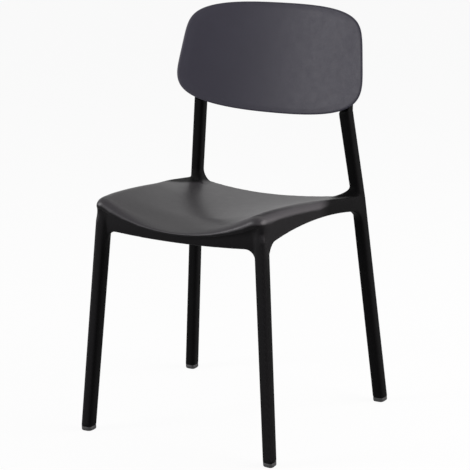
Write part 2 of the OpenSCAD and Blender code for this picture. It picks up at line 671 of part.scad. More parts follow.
// Foot glides: a block as wide as the leg with a narrower sole, and a stem pushed into the leg
glide_inset_share = 0.03;
sole_h_share = 0.3;
sole_inset_share = 0.12;
glide_inset = front_foot_w * glide_inset_share;
sole_h = glide_h * sole_h_share;
sole_inset = front_foot_w * sole_inset_share;
module glide(foot, w, skew, side) {
    mirror([side == left ? 1 : 0, 0, 0])
        color(rubber_black) {
            loft([ring([foot[0], foot[1], 0], w - 2 * sole_inset, skew, 0),
                ring([foot[0], foot[1], sole_h], w - glide_inset, skew, 0),
                ring([foot[0], foot[1], glide_h], w - glide_inset, skew, 0)]);
            translate([foot[0], foot[1] - centre_y, sole_h])
                cylinder(d = stem_d - 2 * fit_gap, h = glide_h - sole_h + stem_len);
        }
}
module front_left_glide() {
    glide(front_at(glide_h), front_foot_w, front_skew, left);
}
module front_right_glide() {
    glide(front_at(glide_h), front_foot_w, front_skew, right);
}
module rear_left_glide() {
    glide(rear_at(glide_h), rear_foot_w, rear_skew, left);
}
module rear_right_glide() {
    glide(rear_at(glide_h), rear_foot_w, rear_skew, right);
}

module insert(side, row) {
    color(brass_yellow)
        at_screws(side, row)
            translate([0, 0, -insert_len])
                difference() {
                    cylinder(d = insert_d, h = insert_len);
                    translate([0, 0, -thin])
                        cylinder(d = screw_d + 2 * fit_gap, h = insert_len + 2 * thin);
                }
}
module upper_left_insert() {
    insert(left, 1);
}
module upper_right_insert() {
    insert(right, 1);
}
module lower_left_insert() {
    insert(left, -1);
}
module lower_right_insert() {
    insert(right, -1);
}

// A socket-head screw: its head stands on the washer, its shank runs into the insert
head_base = clamp_t + washer_t;
shank_share = 0.9;
socket_w_share = 0.45;
socket_floor_share = 0.4;
shank_end = insert_len * shank_share;
socket_w = head_d * socket_w_share;
module screw(side, row) {
    color(steel_zinc)
        at_screws(side, row)
            difference() {
                union() {
                    translate([0, 0, head_base])
                        cylinder(d = head_d, h = head_h);
                    translate([0, 0, -shank_end])
                        cylinder(d = screw_d, h = shank_end + head_base);
                }
                translate([0, 0, head_base + head_h * socket_floor_share])
                    cylinder(d = socket_w, h = head_h, $fn = 6);
            }
}
module upper_left_screw() {
    screw(left, 1);
}
module upper_right_screw() {
    screw(right, 1);
}
module lower_left_screw() {
    screw(left, -1);
}
module lower_right_screw() {
    screw(right, -1);
}

module washer(side, row) {
    color(steel_zinc)
        at_screws(side, row)
            translate([0, 0, clamp_t])
                difference() {
                    cylinder(d = washer_d, h = washer_t);
                    translate([0, 0, -thin])
                        cylinder(d = screw_hole_d, h = washer_t + 2 * thin);
                }
}
module upper_left_washer() {
    washer(left, 1);
}
module upper_right_washer() {
    washer(right, 1);
}
module lower_left_washer() {
    washer(left, -1);
}
module lower_right_washer() {
    washer(right, -1);
}

// Screw covers: a flat flange in the shallow recess and a plug into the counterbore
cover_flange_share = 0.55;
cover_plug_share = 0.8;
cover_flange_t = cover_recess * cover_flange_share;
cover_plug_len = (cover_floor - head_base - head_h) * cover_plug_share;
module screw_cover(side, row) {
    color(cover_black)
        at_screws(side, row) {
            translate([0, 0, cover_floor])
                cylinder(d = cover_d, h = cover_flange_t);
            translate([0, 0, cover_floor - cover_plug_len])
                cylinder(d = counterbore_d - 2 * fit_gap, h = cover_plug_len);
        }
}
module upper_left_screw_cover() {
    screw_cover(left, 1);
}
module upper_right_screw_cover() {
    screw_cover(right, 1);
}
module lower_left_screw_cover() {
    screw_cover(left, -1);
}
module lower_right_screw_cover() {
    screw_cover(right, -1);
}

module stack_pad(side, k) {
    color(rubber_black)
        at_buffer(side, k) {
            translate([0, 0, -buffer_h])
                cylinder(d = buffer_d, h = buffer_h);
            cylinder(d = buffer_stem_d - 2 * fit_gap, h = buffer_stem_len);
        }
}
module front_left_stack_pad() {
    stack_pad(left, 0);
}
module front_right_stack_pad() {
    stack_pad(right, 0);
}
module rear_left_stack_pad() {
    stack_pad(left, 1);
}
module rear_right_stack_pad() {
    stack_pad(right, 1);
}

seat_frame();
backrest();
front_left_glide();
front_right_glide();
rear_left_glide();
rear_right_glide();
upper_left_insert();
upper_right_insert();
lower_left_insert();
lower_right_insert();
upper_left_screw();
upper_right_screw();
lower_left_screw();
lower_right_screw();
upper_left_washer();
upper_right_washer();
lower_left_washer();
lower_right_washer();
upper_left_screw_cover();
upper_right_screw_cover();
lower_left_screw_cover();
lower_right_screw_cover();
front_left_stack_pad();
front_right_stack_pad();
rear_left_stack_pad();
rear_right_stack_pad();
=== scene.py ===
import math

import bpy
import numpy as np
from mathutils import Matrix, Vector


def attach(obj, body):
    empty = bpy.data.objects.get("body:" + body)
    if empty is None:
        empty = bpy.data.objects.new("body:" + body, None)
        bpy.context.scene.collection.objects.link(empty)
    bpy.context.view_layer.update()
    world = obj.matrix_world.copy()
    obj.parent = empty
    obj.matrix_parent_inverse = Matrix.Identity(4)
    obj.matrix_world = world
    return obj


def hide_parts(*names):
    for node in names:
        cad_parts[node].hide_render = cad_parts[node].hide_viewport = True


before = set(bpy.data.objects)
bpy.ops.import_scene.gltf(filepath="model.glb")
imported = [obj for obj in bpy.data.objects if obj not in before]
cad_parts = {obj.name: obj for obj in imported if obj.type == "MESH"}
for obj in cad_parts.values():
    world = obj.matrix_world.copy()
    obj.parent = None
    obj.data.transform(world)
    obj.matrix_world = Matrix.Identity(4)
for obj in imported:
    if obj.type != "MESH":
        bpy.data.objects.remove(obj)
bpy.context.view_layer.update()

# Seat frame
# One injection moulding in glass-filled polypropylene: a dished sheet that rolls over into side
# rails and a front lip, an apron, four tapering legs and two posts. It leaves the mould in one
# piece, so every corner between its members is a blended radius.

# Sizes are in millimetres. Places along the chair count back from the centres of the front feet,
# and CENTRE_Y takes them to the origin under the middle of the chair.
MM = 0.001
SEAT_W = 417.0  # width over the side rails beside the posts
SEAT_H = 433.0  # height of the seat's side edge beside the posts
SEAT_RUN = 345.0  # from the front legs back to the posts
SEAT_RISE = 44.0  # rise of the side edge from the posts to the front corners
SEAT_NARROWING = 10.5  # how much each side comes in towards the front
FRONT_LEG_W = 26.5
FRONT_FOOT_W = 24.5
FRONT_RAKE = 58.0  # how far a front foot stands ahead of the top of its leg
FRONT_SPLAY = 32.0  # how far it stands outside the top of its leg
REAR_LEG_W = 24.0
REAR_FOOT_W = 25.0
REAR_RAKE = 5.0
REAR_SPLAY = 39.0
LEG_TOP_H = 427.0  # height over which splay and rake are measured
BACK_LEN = 225.0  # height of the backrest along its slope
BACK_T = 7.0
BACK_LEAN = 14.5  # degrees from upright
BACK_DISH = 1.2  # how far its top and bottom come forward of its middle
BACK_SET = 30.4  # how far its middle stands behind the posts

FRONT_TOP_Y = FRONT_RAKE
POST_Y = FRONT_RAKE + SEAT_RUN
OUTER_REAR_X = SEAT_W / 2
OUTER_FRONT_X = OUTER_REAR_X - SEAT_NARROWING
FRONT_TOP_X = OUTER_FRONT_X - FRONT_LEG_W / 2
REAR_TOP_X = OUTER_REAR_X - REAR_LEG_W / 2
LEAN = math.radians(BACK_LEAN)
BACK_HALF = BACK_LEN / 2
BACK_MID_Y = POST_Y + BACK_SET
REARMOST_Y = BACK_MID_Y + BACK_HALF * math.sin(LEAN) - BACK_DISH + BACK_T / 2
CENTRE_Y = (REARMOST_Y - FRONT_FOOT_W / 2) / 2


def smooth(t):
    """S-curve from 0 to 1: c squared times (3 - 2 c), with c the share t held between 0 and 1."""
    c = np.clip(t, 0.0, 1.0)
    return c * c * (3.0 - 2.0 * c)


def signed_power(v, p):
    """The size of v to the power p, with the sign of v."""
    return np.sign(v) * np.abs(v) ** p


def quarter_turn(count):
    """Even angles from 0 to a right angle, both included."""
    return np.linspace(0.0, np.pi / 2, count)


def full_turn(count):
    """Even angles once round, from 0."""
    return np.linspace(0.0, 2.0 * np.pi, count, endpoint=False)


def quarter_round(radius, count):
    """Quarter round as its inset, radius times (1 - sine), and its rise, radius times (1 - cosine),
    from the flat at its foot to the wall above."""
    turn = quarter_turn(count)
    return radius * (1 - np.sin(turn)), radius * (1 - np.cos(turn))


def closed_skin(rings):
    """Skin over a stack of closed outlines: quads join point k of outline i to point k + 1 and to
    outline i + 1, strips between point k and its opposite close both ends, and the faces are
    turned so that the enclosed volume is positive."""
    m, n, _ = rings.shape
    k = np.arange(n)
    a = np.arange(m - 1)[:, None] * n + k
    b = np.arange(m - 1)[:, None] * n + (k + 1) % n
    sides = np.stack([a, b, b + n, a + n], -1).reshape(-1, 4)
    c = np.arange(n // 2 - 1)
    cap = np.stack([c, n - 1 - c, n - 2 - c, c + 1], -1)
    faces = np.concatenate([sides, cap, (m - 1) * n + cap[:, ::-1]])
    points = rings.reshape(-1, 3)
    p0, p1, p2, p3 = points[faces].transpose(1, 0, 2)
    volume = (np.cross(p0, p1) * p2).sum() + (np.cross(p0, p2) * p3).sum()
    return points, faces if volume > 0 else faces[:, ::-1]


def loft(x, y, z):
    """Closed skin over outlines given by their coordinates, each spread to the others' shape."""
    return closed_skin(np.stack(np.broadcast_arrays(x, y - CENTRE_Y, z), -1))


def mirrored(skin):
    """The same skin on the other side of the chair: x changes sign and the faces turn over."""
    points, faces = skin
    return points * np.array([-1.0, 1.0, 1.0]), faces[:, ::-1]


def solid(name, skins):
    """One object from several closed skins, given in millimetres, with its place in its mesh."""
    points, faces, count = [], [], 0
    for p, f in skins:
        points.append(p)
        faces.append(f + count)
        count += len(p)
    mesh = bpy.data.meshes.new(name)
    mesh.from_pydata((np.concatenate(points) * MM).tolist(), [], np.concatenate(faces).tolist())
    mesh.update()
    mesh.shade_smooth()
    obj = bpy.data.objects.new(name, mesh)
    bpy.context.scene.collection.objects.link(obj)
    return obj


# The sheet: its hollow, its rolled edges and its front lip
SHEET_T = 5.0
DISH_FRONT = 35.0  # depth of the hollow across the seat at the front
DISH_REAR = 11.0  # and at the rear
ROLL_FRONT = 20.0  # radius of the side roll at the front corners
ROLL_MID = 20.0  # at the middle of each side
ROLL_REAR = 4.0  # beside the posts
ROLL_FADE_START = 0.5  # share of the run where the roll begins to tighten
ROLL_FADE_RUN = 0.29  # share of the run in which it does so
ROLL_DEPTH = 20.0  # length of the front roll, from the lip back
ROLL_END = 2.0  # radius of the side roll where it ends at the lip
CORNER_IN = 12.0  # how much each front corner is rounded off sideways
LIP_AHEAD = 24.0  # how far the lip stands ahead of the front legs
LIP_DROP = 14.0  # fall of the centre line to the lip
FALL_RUN = 90.0  # distance behind the lip at which that fall begins
LIP_T = 6.0
LIP_BOW = 7.0  # how far the lip bows forward at its centre
REAR_EDGE_AHEAD = 28.0  # how far the rear edge stops ahead of the posts at its centre
EDGE_FALL = (0.25, 1.35, -0.6)
LEAST_R = 0.05  # smallest radius, so that no outline shrinks to a point
LIP_Y = FRONT_TOP_Y - LIP_AHEAD


def run_share(y):
    """Share of the way from the front legs (0) to the posts (1)."""
    return (y - FRONT_TOP_Y) / SEAT_RUN


def fall(y):
    """Fall of the side edge from front (0) to rear (1): the cubic a t + b t^2 + c t^3 of the share
    t of the run, with a, b and c from EDGE_FALL."""
    t = np.maximum(run_share(y), 0.0)
    a, b, c = EDGE_FALL
    return t * (a + t * (b + t * c))


def crest(y):
    """Height of the crest of the side edge at depth y."""
    return SEAT_H + SEAT_RISE * (1.0 - fall(y))


def outer_x(y):
    """Half width of the seat over its side faces."""
    return OUTER_FRONT_X + (OUTER_REAR_X - OUTER_FRONT_X) * run_share(y)


def roll_radius(y):
    """Radius of the side roll: a straight change to the middle, then an S-curve down to the edge
    beside the posts."""
    t = run_share(y)
    front = ROLL_FRONT + (ROLL_MID - ROLL_FRONT) * np.maximum(t, 0.0) / ROLL_FADE_START
    rear = ROLL_MID + (ROLL_REAR - ROLL_MID) * smooth((t - ROLL_FADE_START) / ROLL_FADE_RUN)
    return np.where(t < ROLL_FADE_START, front, rear)


def dish(y):
    """Depth of the hollow across the seat: it follows the fall of the edge, and deepens towards
    the lip by the drop times the squared share of the last stretch."""
    near = np.maximum(1.0 - (y - LIP_Y) / FALL_RUN, 0.0)
    return DISH_FRONT + (DISH_REAR - DISH_FRONT) * fall(y) + LIP_DROP * near**2


def rear_draw(x):
    """How far the rear edge is drawn forward at x: most at the centre, nothing at the posts."""
    return -REAR_EDGE_AHEAD * (1.0 - np.minimum((x / REAR_TOP_X) ** 2, 1.0))


def placed(x, y, z):
    """Points of the sheet, the front edge bowed forward and the rear edge drawn forward."""
    t = (y - LIP_Y) / (POST_Y - LIP_Y)
    bow = LIP_BOW * (x / OUTER_FRONT_X) ** 2 * (1.0 - t)
    return np.stack([x, y + bow + rear_draw(x) * t - CENTRE_Y, z], -1)


def sheet_height(x, y):
    """Height of the sheet's upper face: a parabola across, tangent to the side rolls."""
    r, d = roll_radius(y), dish(y)
    arc_x = outer_x(y) - r
    tilt = np.arctan(2.0 * d / arc_x)
    jx, jz = arc_x - r * np.sin(tilt), crest(y) - r + r * np.cos(tilt)
    low = crest(y) - d
    return low + (jz - low) * np.minimum(np.abs(x) / jx, 1.0) ** 2


def seat_sheet():
    """Sheet outline at each depth: a roll arc from the side face over the crest, then a parabola to
    the middle, and back along the same curve one thickness lower. The first rows turn through a
    quarter circle up from the front lip, while the roll's radius grows from its end, and both faces
    close over a half circle at the lip's rim."""
    start_y = LIP_Y + ROLL_DEPTH
    run = np.linspace(start_y, POST_Y + REAR_LEG_W / 4, 130)[1:]
    y = np.concatenate([LIP_Y + ROLL_DEPTH * (1 - np.cos(quarter_turn(16))), run])
    ahead = np.clip(1.0 - (y - LIP_Y) / (LIP_T / 2), 0.0, 1.0)
    rim = (LIP_T / 2 * (1.0 - np.sqrt(1.0 - ahead**2)))[:, None]
    round_share = np.linspace(0.0, 1.0, 22)
    flat_share = np.linspace(1.0, 0.0, 60)[1:]
    faces = []
    for inset in (0.0, SHEET_T):
        front = np.clip(1.0 - (y - inset - LIP_Y) / ROLL_DEPTH, 0.0, 1.0)
        tuck = 1.0 - np.sqrt(1.0 - front**2)
        sunk = (ROLL_FRONT - ROLL_END) * tuck
        r = roll_radius(y) - sunk
        arc_x = outer_x(np.maximum(y, start_y)) - r - CORNER_IN * tuck
        top, deep = crest(y) - sunk, dish(y) - sunk
        low = top - deep
        tilt = np.arctan(2.0 * deep / arc_x)
        joint_x, joint_z = arc_x - r * np.sin(tilt), top - r + r * np.cos(tilt)
        phi = np.pi / 2 - (np.pi / 2 + tilt)[:, None] * round_share
        skin_r = np.maximum(r - inset, LEAST_R)[:, None]
        thicker = inset * LIP_T / SHEET_T * tuck[:, None]
        roll_x = arc_x[:, None] + skin_r * np.sin(phi)
        roll_z = (top - r)[:, None] + skin_r * np.cos(phi) - thicker * np.sin(phi)
        flat_x = joint_x[:, None] * flat_share
        drop = inset * (1.0 + (LIP_T / SHEET_T - 1.0) * tuck)
        flat_z = low[:, None] + (joint_z - low)[:, None] * flat_share**2 - drop[:, None]
        x = np.concatenate([roll_x, flat_x], 1)
        z = np.concatenate([roll_z, flat_z], 1) + (rim if inset else -rim)
        x = np.concatenate([x, -x[:, -2::-1]], 1)
        z = np.concatenate([z, z[:, -2::-1]], 1)
        faces.append(placed(x, np.broadcast_to(y[:, None], x.shape), z))
    upper, lower = faces
    return closed_skin(np.concatenate([upper, lower[:, ::-1]], 1))


# Side rails: the walls under the sides of the sheet, arched below between front leg and post
RAIL_W = 20.0
RAIL_ARCH_DROP = 6.0  # from the seat edge at the posts down to the arch's highest point
RAIL_ARCH = 28.0  # fall of the lower edge from there to the posts
ARCH_TOP_SHARE = 0.38  # share of the run where the arch is highest
FRONT_FILLET = 19.0  # radius between a front leg and the rail
REAR_FILLET = 25.0  # radius between a rear leg and the rail
LEG_FLAT_SHARE = 0.49  # half a leg's thickness, up to where its face stops being flat
EDGE_MID_SHARE = 0.25  # rounding of the lower edge in the middle, as a share of the rail's width
EDGE_LEG_SHARE = 0.32  # and beside the legs
LEG_DRAW_SHARE = 0.16  # how far the faces draw in beside the legs
RAIL_SWELL_SHARE = 1.3  # depth, in roll radii, over which the faces pass to the legs' slope
RAIL_TUCK = 0.05  # keeps the rail's face just inside the roll's
ROLL_SEAT_ANGLES = (72.0, 12.0)  # degrees above level between which it follows the roll's inside


def leg_axis(z, front):
    """Centre of a leg at height z: a straight line from the splayed foot to its top."""
    up = (z - LEG_TOP_H) / LEG_TOP_H
    if front:
        return FRONT_TOP_X - FRONT_SPLAY * up, FRONT_TOP_Y + FRONT_RAKE * up
    return REAR_TOP_X - REAR_SPLAY * up, POST_Y + REAR_RAKE * up


def leg_face_x(y, z):
    """Outer face of the legs at height z, carried straight from the front leg to the rear one."""
    front = leg_axis(z, True)[0] + FRONT_LEG_W / 2
    rear = leg_axis(z, False)[0] + REAR_LEG_W / 2
    return front + (rear - front) * run_share(y)


def corner_drop(d, r):
    """Depth of a quarter round of radius r at distance d from the wall that it meets."""
    left = r - np.maximum(d, 0.0)
    return np.where(d >= r, 0.0, r - np.sqrt(np.maximum(r * r - left**2, 0.0)))


ARCH_FRONT_DROP = RAIL_ARCH * (ARCH_TOP_SHARE / (1.0 - ARCH_TOP_SHARE)) ** 2
FILLET_END_Z = SEAT_H - RAIL_ARCH_DROP - FRONT_FILLET - ARCH_FRONT_DROP
LEG_REAR_Y = (
    FRONT_TOP_Y
    + LEG_FLAT_SHARE * FRONT_LEG_W
    - FRONT_RAKE * (LEG_TOP_H - FILLET_END_Z) / LEG_TOP_H
)
POST_FRONT_Y = POST_Y - LEG_FLAT_SHARE * REAR_LEG_W


def rail_low(y):
    """Lower edge of a side rail: a parabola about the arch's highest point, with a fillet at each
    leg."""
    aside = (run_share(y) - ARCH_TOP_SHARE) / (1.0 - ARCH_TOP_SHARE)
    arch = SEAT_H - RAIL_ARCH_DROP - RAIL_ARCH * aside**2
    front = corner_drop(y - LEG_REAR_Y, FRONT_FILLET)
    return arch - front - corner_drop(POST_FRONT_Y - y, REAR_FILLET)


def side_rail():
    """Closed outline at each depth: over the inside of the side roll, down the outer face with the
    leg's slope, round the lower edge by two quarter circles, and up the inner face. Beside the
    legs the lower edge is rounder and draws in to their rounded corners."""
    y = np.linspace(FRONT_TOP_Y, POST_Y, 160)[:, None]
    near_leg = np.maximum(
        corner_drop(y - LEG_REAR_Y, FRONT_FILLET) / FRONT_FILLET,
        corner_drop(POST_FRONT_Y - y, REAR_FILLET) / REAR_FILLET,
    )
    r, low = roll_radius(y), rail_low(y)
    top_out = crest(y) - r
    top_in = sheet_height(outer_x(y) - RAIL_W, y) - SHEET_T / 2
    edge = RAIL_W * (EDGE_MID_SHARE + (EDGE_LEG_SHARE - EDGE_MID_SHARE) * near_leg)
    step_out = outer_x(y) - RAIL_TUCK - leg_face_x(y, top_out)

    def wall(x_in, z, way):
        """Points at height z, x_in inside the outer face; way is 1 outside and -1 inside."""
        swell = step_out * (1.0 - smooth((top_out - z) / (RAIL_SWELL_SHARE * ROLL_FRONT)))
        beside = LEG_DRAW_SHARE * RAIL_W * near_leg**2
        draw = beside * (1.0 - smooth((z - low) / FRONT_FILLET))
        return leg_face_x(y, z) + swell - x_in - way * draw, z

    over = np.radians(np.linspace(*ROLL_SEAT_ANGLES, 6))
    inside_r = r - SHEET_T / 2
    inset, rise = quarter_round(edge, 8)
    pieces = [
        (outer_x(y) - r + inside_r * np.cos(over), top_out + inside_r * np.sin(over)),
        wall(0.0, top_out + (low + edge - top_out) * np.linspace(0.0, 1.0, 14), 1.0),
        wall(inset[:, ::-1], low + rise[:, ::-1], 1.0),
        wall(RAIL_W - inset, low + rise, -1.0),
        wall(RAIL_W, low + edge + (top_in - low - edge) * np.linspace(0.0, 1.0, 20), -1.0),
    ]
    x = np.concatenate([p[0] for p in pieces], 1)
    z = np.concatenate([p[1] for p in pieces], 1)
    return loft(x, y, z)


# Front apron: the wall under the front of the sheet, between the front legs
APRON_T = 8.0
APRON_DROP = 72.0  # height below the seat's front corners
APRON_FILLET = 22.0  # radius between a front leg and the apron
APRON_SET_BACK_SHARE = 0.3  # how far its face stands ahead of the legs' centres, in leg widths
APRON_RISE_SHARE = 0.85  # rise of its lower edge to the legs, as a share of the lip's bow
APRON_EDGE_SHARE = 0.35  # rounding of its lower edges, as a share of its thickness


def front_apron():
    """Closed outline at each place across: a wall from the lower edge up into the sheet, its lower
    corners rounded, bowed forward by a parabola and filleted into both legs."""
    low_z = SEAT_H + SEAT_RISE - APRON_DROP
    end_x = FRONT_TOP_X + (LEG_TOP_H - low_z) * FRONT_SPLAY / LEG_TOP_H - FRONT_LEG_W / 2
    x = np.linspace(-FRONT_TOP_X, FRONT_TOP_X, 241)[:, None]
    side = x / FRONT_TOP_X
    fillet = corner_drop(end_x - np.abs(x), APRON_FILLET)
    low = low_z + LIP_BOW * APRON_RISE_SHARE * side**2 - fillet
    wall_y = FRONT_TOP_Y - FRONT_LEG_W * APRON_SET_BACK_SHARE
    high_front = sheet_height(x, wall_y) - SHEET_T / 2
    high_rear = sheet_height(x, wall_y + APRON_T) - SHEET_T / 2
    edge = APRON_T * APRON_EDGE_SHARE
    share = np.linspace(0.0, 1.0, 10)
    inset, rise = quarter_round(edge, 7)
    back = np.concatenate([0 * share, inset[::-1], APRON_T - inset, 0 * share + APRON_T])
    z = np.concatenate(
        [
            high_front + (low + edge - high_front) * share,
            low + rise[::-1],
            low + rise,
            low + edge + (high_rear - low - edge) * share,
        ],
        1,
    )
    return loft(x, wall_y + LIP_BOW * (side**2 - 1.0) + back, z)


# Front legs: rounded squares, skewed a little so that their faces follow the draft of the mould
GLIDE_H = 9.0  # height of a foot glide below its leg
SQUARE_FORM = 3.5  # squareness of a leg's outline, where 2 is a circle
RING_POINTS = 96
FRONT_SKEW = 0.065
FRONT_LEG_END_Z = SEAT_H + SEAT_RISE - ROLL_FRONT
CROWN = ((6.0, 22.5), (12.0, 13.3))  # rise and width of each outline above a front leg's end
NECK = ((-8.0, 21.0), (6.0, 22.0), (9.0, 20.0))  # the same for the filling inside the corner
NECK_IN = 3.0  # how far the filling stands inward of the leg
NECK_AHEAD = 1.5  # and ahead of it


def rounded_square(centre, width, skew, tilt=0.0):
    """Closed outline of a leg: a superellipse of the given width, skewed in plan and tilted about
    the y axis."""
    a = full_turn(RING_POINTS)
    x = width / 2 * signed_power(np.cos(a), 2 / SQUARE_FORM)
    y = width / 2 * signed_power(np.sin(a), 2 / SQUARE_FORM)
    px, py = x - skew * y, y - skew * x
    z = centre[2] + px * math.tan(tilt)
    return np.stack([centre[0] + px, centre[1] + py - CENTRE_Y, z], -1)


def front_leg():
    """Front leg: a straight loft of rounded squares from the glide up to the front corner, closed
    by a smaller crown inside the roll."""
    rings = []
    ends = ((GLIDE_H, FRONT_FOOT_W), (FRONT_LEG_END_Z, FRONT_LEG_W))
    for z, w in ends + tuple((FRONT_LEG_END_Z + rise, w) for rise, w in CROWN):
        x, y = leg_axis(z, True)
        rings.append(rounded_square((x, y, z), w, FRONT_SKEW))
    return closed_skin(np.stack(rings))


def leg_neck():
    """Filling between the top of a front leg and the underside of the lip: rounded squares a little
    smaller than the leg, set inward and ahead of it."""
    rings = []
    for rise, w in NECK:
        z = FRONT_LEG_END_Z + rise
        x, y = leg_axis(z, True)
        rings.append(rounded_square((x - NECK_IN, y - NECK_AHEAD, z), w, FRONT_SKEW))
    return closed_skin(np.stack(rings))


# Rear legs and posts: the posts lean in to a shoulder below the backrest, and run on behind it as a
# flat-fronted spine, which lies square to the backrest's curved middle surface
CHAIR_H = 805.0
BACK_W = 444.6  # width of the backrest at half height, along its curve
BACK_TAPER = 32.4  # narrowing of each side from bottom to top
BACK_BEND_R = 715.0  # radius of its curve from side to side
BACK_LOW_FORM = 3.45  # squareness of its lower edge, where 2 is an ellipse
BACK_LOW_SIDE_FORM = 2.2  # squareness of its sides below half height
LOW_WIDTH_SHARE = 0.4  # share of the taper that widens it at its lower corners
PAD_T = 5.0  # height of a mounting pad behind the shell
PAD_LEN = 76.0
REAR_SKEW = -0.033
POST_IN = 22.0  # how far a post comes in from the seat to its shoulder
POST_FILLET = 60.0  # reach of the hollow curve from a post into the seat
SHOULDER_TILT = math.radians(20.0)
SHOULDER_GAP_SHARE = 0.5  # gap between shoulder and backrest, in thicknesses of the shell
MOUNT_V_SHARE = -0.41  # middle of the pads, as a share of the backrest's half length
SPINE_T = 18.0  # depth of a post behind its rebate
SPINE_LEN_SHARE = 0.58  # reach of the spine up and down, in lengths of the pad
SPINE_END_SHARE = 0.82  # depth of the spine at its very end
SPINE_FORMS = (9.0, 3.2)  # squareness of its front half and of its rear half
SPINE_LEAST_SHARE = 0.03  # width that is left where its rounded end closes
FLARE_RISE_SHARE = 0.34  # height of a post's flare, as a share of its reach
FLARE_REAR_SHARE = 0.65  # how far it comes forward at the post's rear, against its inward reach
FLARE_SINK_SHARE = 0.2  # how deep its lowest outline lies in the sheet
BACK_MID_Z = CHAIR_H - BACK_HALF * math.cos(LEAN) - BACK_T / 2 * math.sin(LEAN)


def back_point(u, v):
    """Middle surface of the backrest: a leaning cylinder, drawn forward at top and bottom."""
    bend = u / BACK_BEND_R
    bent_y = BACK_MID_Y - BACK_BEND_R * (1 - np.cos(bend))
    y = bent_y + v * math.sin(LEAN) - BACK_DISH * (v / BACK_HALF) ** 2
    return np.stack([BACK_BEND_R * np.sin(bend), y - CENTRE_Y, BACK_MID_Z + v * math.cos(LEAN)], -1)


def back_slope(v):
    """Slope of the middle surface from upright: the lean less the turn of its parabola."""
    return LEAN - np.arctan(2.0 * BACK_DISH * v / BACK_HALF**2)


def back_normal(u, v):
    """Direction square to the backrest's middle surface, pointing to the rear."""
    bend, slope = u / BACK_BEND_R, back_slope(v)
    level = np.cos(slope)
    return np.stack([np.sin(bend) * level, np.cos(bend) * level, -np.sin(slope) + 0 * bend], -1)


def back_low_v(x):
    """Distance of the backrest's lower outline below its middle, at x: half its length times a
    superellipse of the share of its half width."""
    half = BACK_W / 2 + BACK_TAPER * LOW_WIDTH_SHARE
    c = min(x / half, 1.0) ** (BACK_LOW_SIDE_FORM / 2)
    return -BACK_HALF * (1 - c * c) ** (1 / BACK_LOW_FORM)


SHOULDER_X = REAR_TOP_X - POST_IN
SHOULDER_Z = BACK_MID_Z + back_low_v(SHOULDER_X) * math.cos(LEAN) - BACK_T * SHOULDER_GAP_SHARE
POST_IN_SLOPE = POST_IN / (SHOULDER_Z - LEG_TOP_H)
MOUNT_V = MOUNT_V_SHARE * BACK_HALF
MOUNT_X = SHOULDER_X - POST_IN_SLOPE * (BACK_MID_Z + MOUNT_V - SHOULDER_Z)
MOUNT_U = math.asin(MOUNT_X / BACK_BEND_R) * BACK_BEND_R
SPINE_REACH = PAD_LEN * SPINE_LEN_SHARE


def spine_frame():
    """Frame of a post's rebate as a matrix of columns: across the post, down the slope, to the
    rear, with its origin on the rebate's face at the middle of the pad."""
    turn = Matrix.Rotation(-MOUNT_U / BACK_BEND_R, 3, "Z")
    turn = turn @ Matrix.Rotation(-math.pi / 2 - float(back_slope(MOUNT_V)), 3, "X")
    turn = turn @ Matrix.Rotation(-math.atan(POST_IN_SLOPE), 3, "Z")
    u, v = np.array(MOUNT_U), np.array(MOUNT_V)
    return np.array(turn), back_point(u, v) + (BACK_T / 2 + PAD_T) * back_normal(u, v)


SPINE_TURN, SPINE_ORIGIN = spine_frame()


def in_spine(points):
    """Points given in the rebate's frame, carried to their place on the right-hand post."""
    return points @ SPINE_TURN.T + SPINE_ORIGIN


def rear_leg():
    """Rear leg and post as one stack of outlines: rounded squares up the leg and the leaning post,
    then the spine behind the backrest, whose outline is a superellipse, nearly square in front and
    rounder behind, and closes over a half circle at its upper end."""
    foot_x, foot_y = leg_axis(GLIDE_H, False)
    rings = [
        rounded_square((foot_x, foot_y, GLIDE_H), REAR_FOOT_W, REAR_SKEW),
        rounded_square((REAR_TOP_X, POST_Y, LEG_TOP_H), REAR_LEG_W, REAR_SKEW),
        rounded_square((SHOULDER_X, POST_Y, SHOULDER_Z), REAR_LEG_W, REAR_SKEW, SHOULDER_TILT),
    ]
    a, turn = full_turn(RING_POINTS), quarter_turn(12)
    half_w = REAR_LEG_W / 2
    reach = np.concatenate([[-SPINE_REACH], SPINE_REACH - half_w + half_w * np.sin(turn)])
    share = np.concatenate([[1.0], np.maximum(np.cos(turn), SPINE_LEAST_SHARE)])
    front_form, rear_form = SPINE_FORMS
    power = np.where(np.sin(a) > 0, 2 / rear_form, 2 / front_form)
    cx, cz = signed_power(np.cos(a), power), signed_power(np.sin(a), power)
    for q, s in zip(reach, share):
        depth = SPINE_T * (SPINE_END_SHARE + (1.0 - SPINE_END_SHARE) * s)
        local = np.stack([half_w * s * cx, np.full_like(a, -q), depth / 2 + depth / 2 * cz], -1)
        rings.append(in_spine(local))
    return closed_skin(np.stack(rings))


def post_flare():
    """Foot of a post: the post's outline swells inward and forward by a hollow quarter circle as it
    comes down to the sheet, and its lowest outline lies a little under the sheet's face."""
    flare_rise = FLARE_RISE_SHARE * POST_FILLET
    h = flare_rise * (1.0 - np.cos(quarter_turn(14)))[:, None]
    ring = rounded_square((0.0, CENTRE_Y, 0.0), REAR_LEG_W, REAR_SKEW)
    px, py = ring[:, 0], ring[:, 1]
    reach = POST_FILLET * (1.0 - np.sqrt(1.0 - (1.0 - h / flare_rise) ** 2))
    inward = (0.5 - px / REAR_LEG_W) * reach
    to_front = FLARE_REAR_SHARE + (1.0 - FLARE_REAR_SHARE) * (0.5 - py / REAR_LEG_W)
    x = REAR_TOP_X + px - inward - (crest(POST_Y) - LEG_TOP_H + h) * POST_IN_SLOPE
    y = POST_Y + py - inward * to_front
    z = sheet_height(x, y - rear_draw(x)) - FLARE_SINK_SHARE * SHEET_T + h
    return loft(x, y, z)


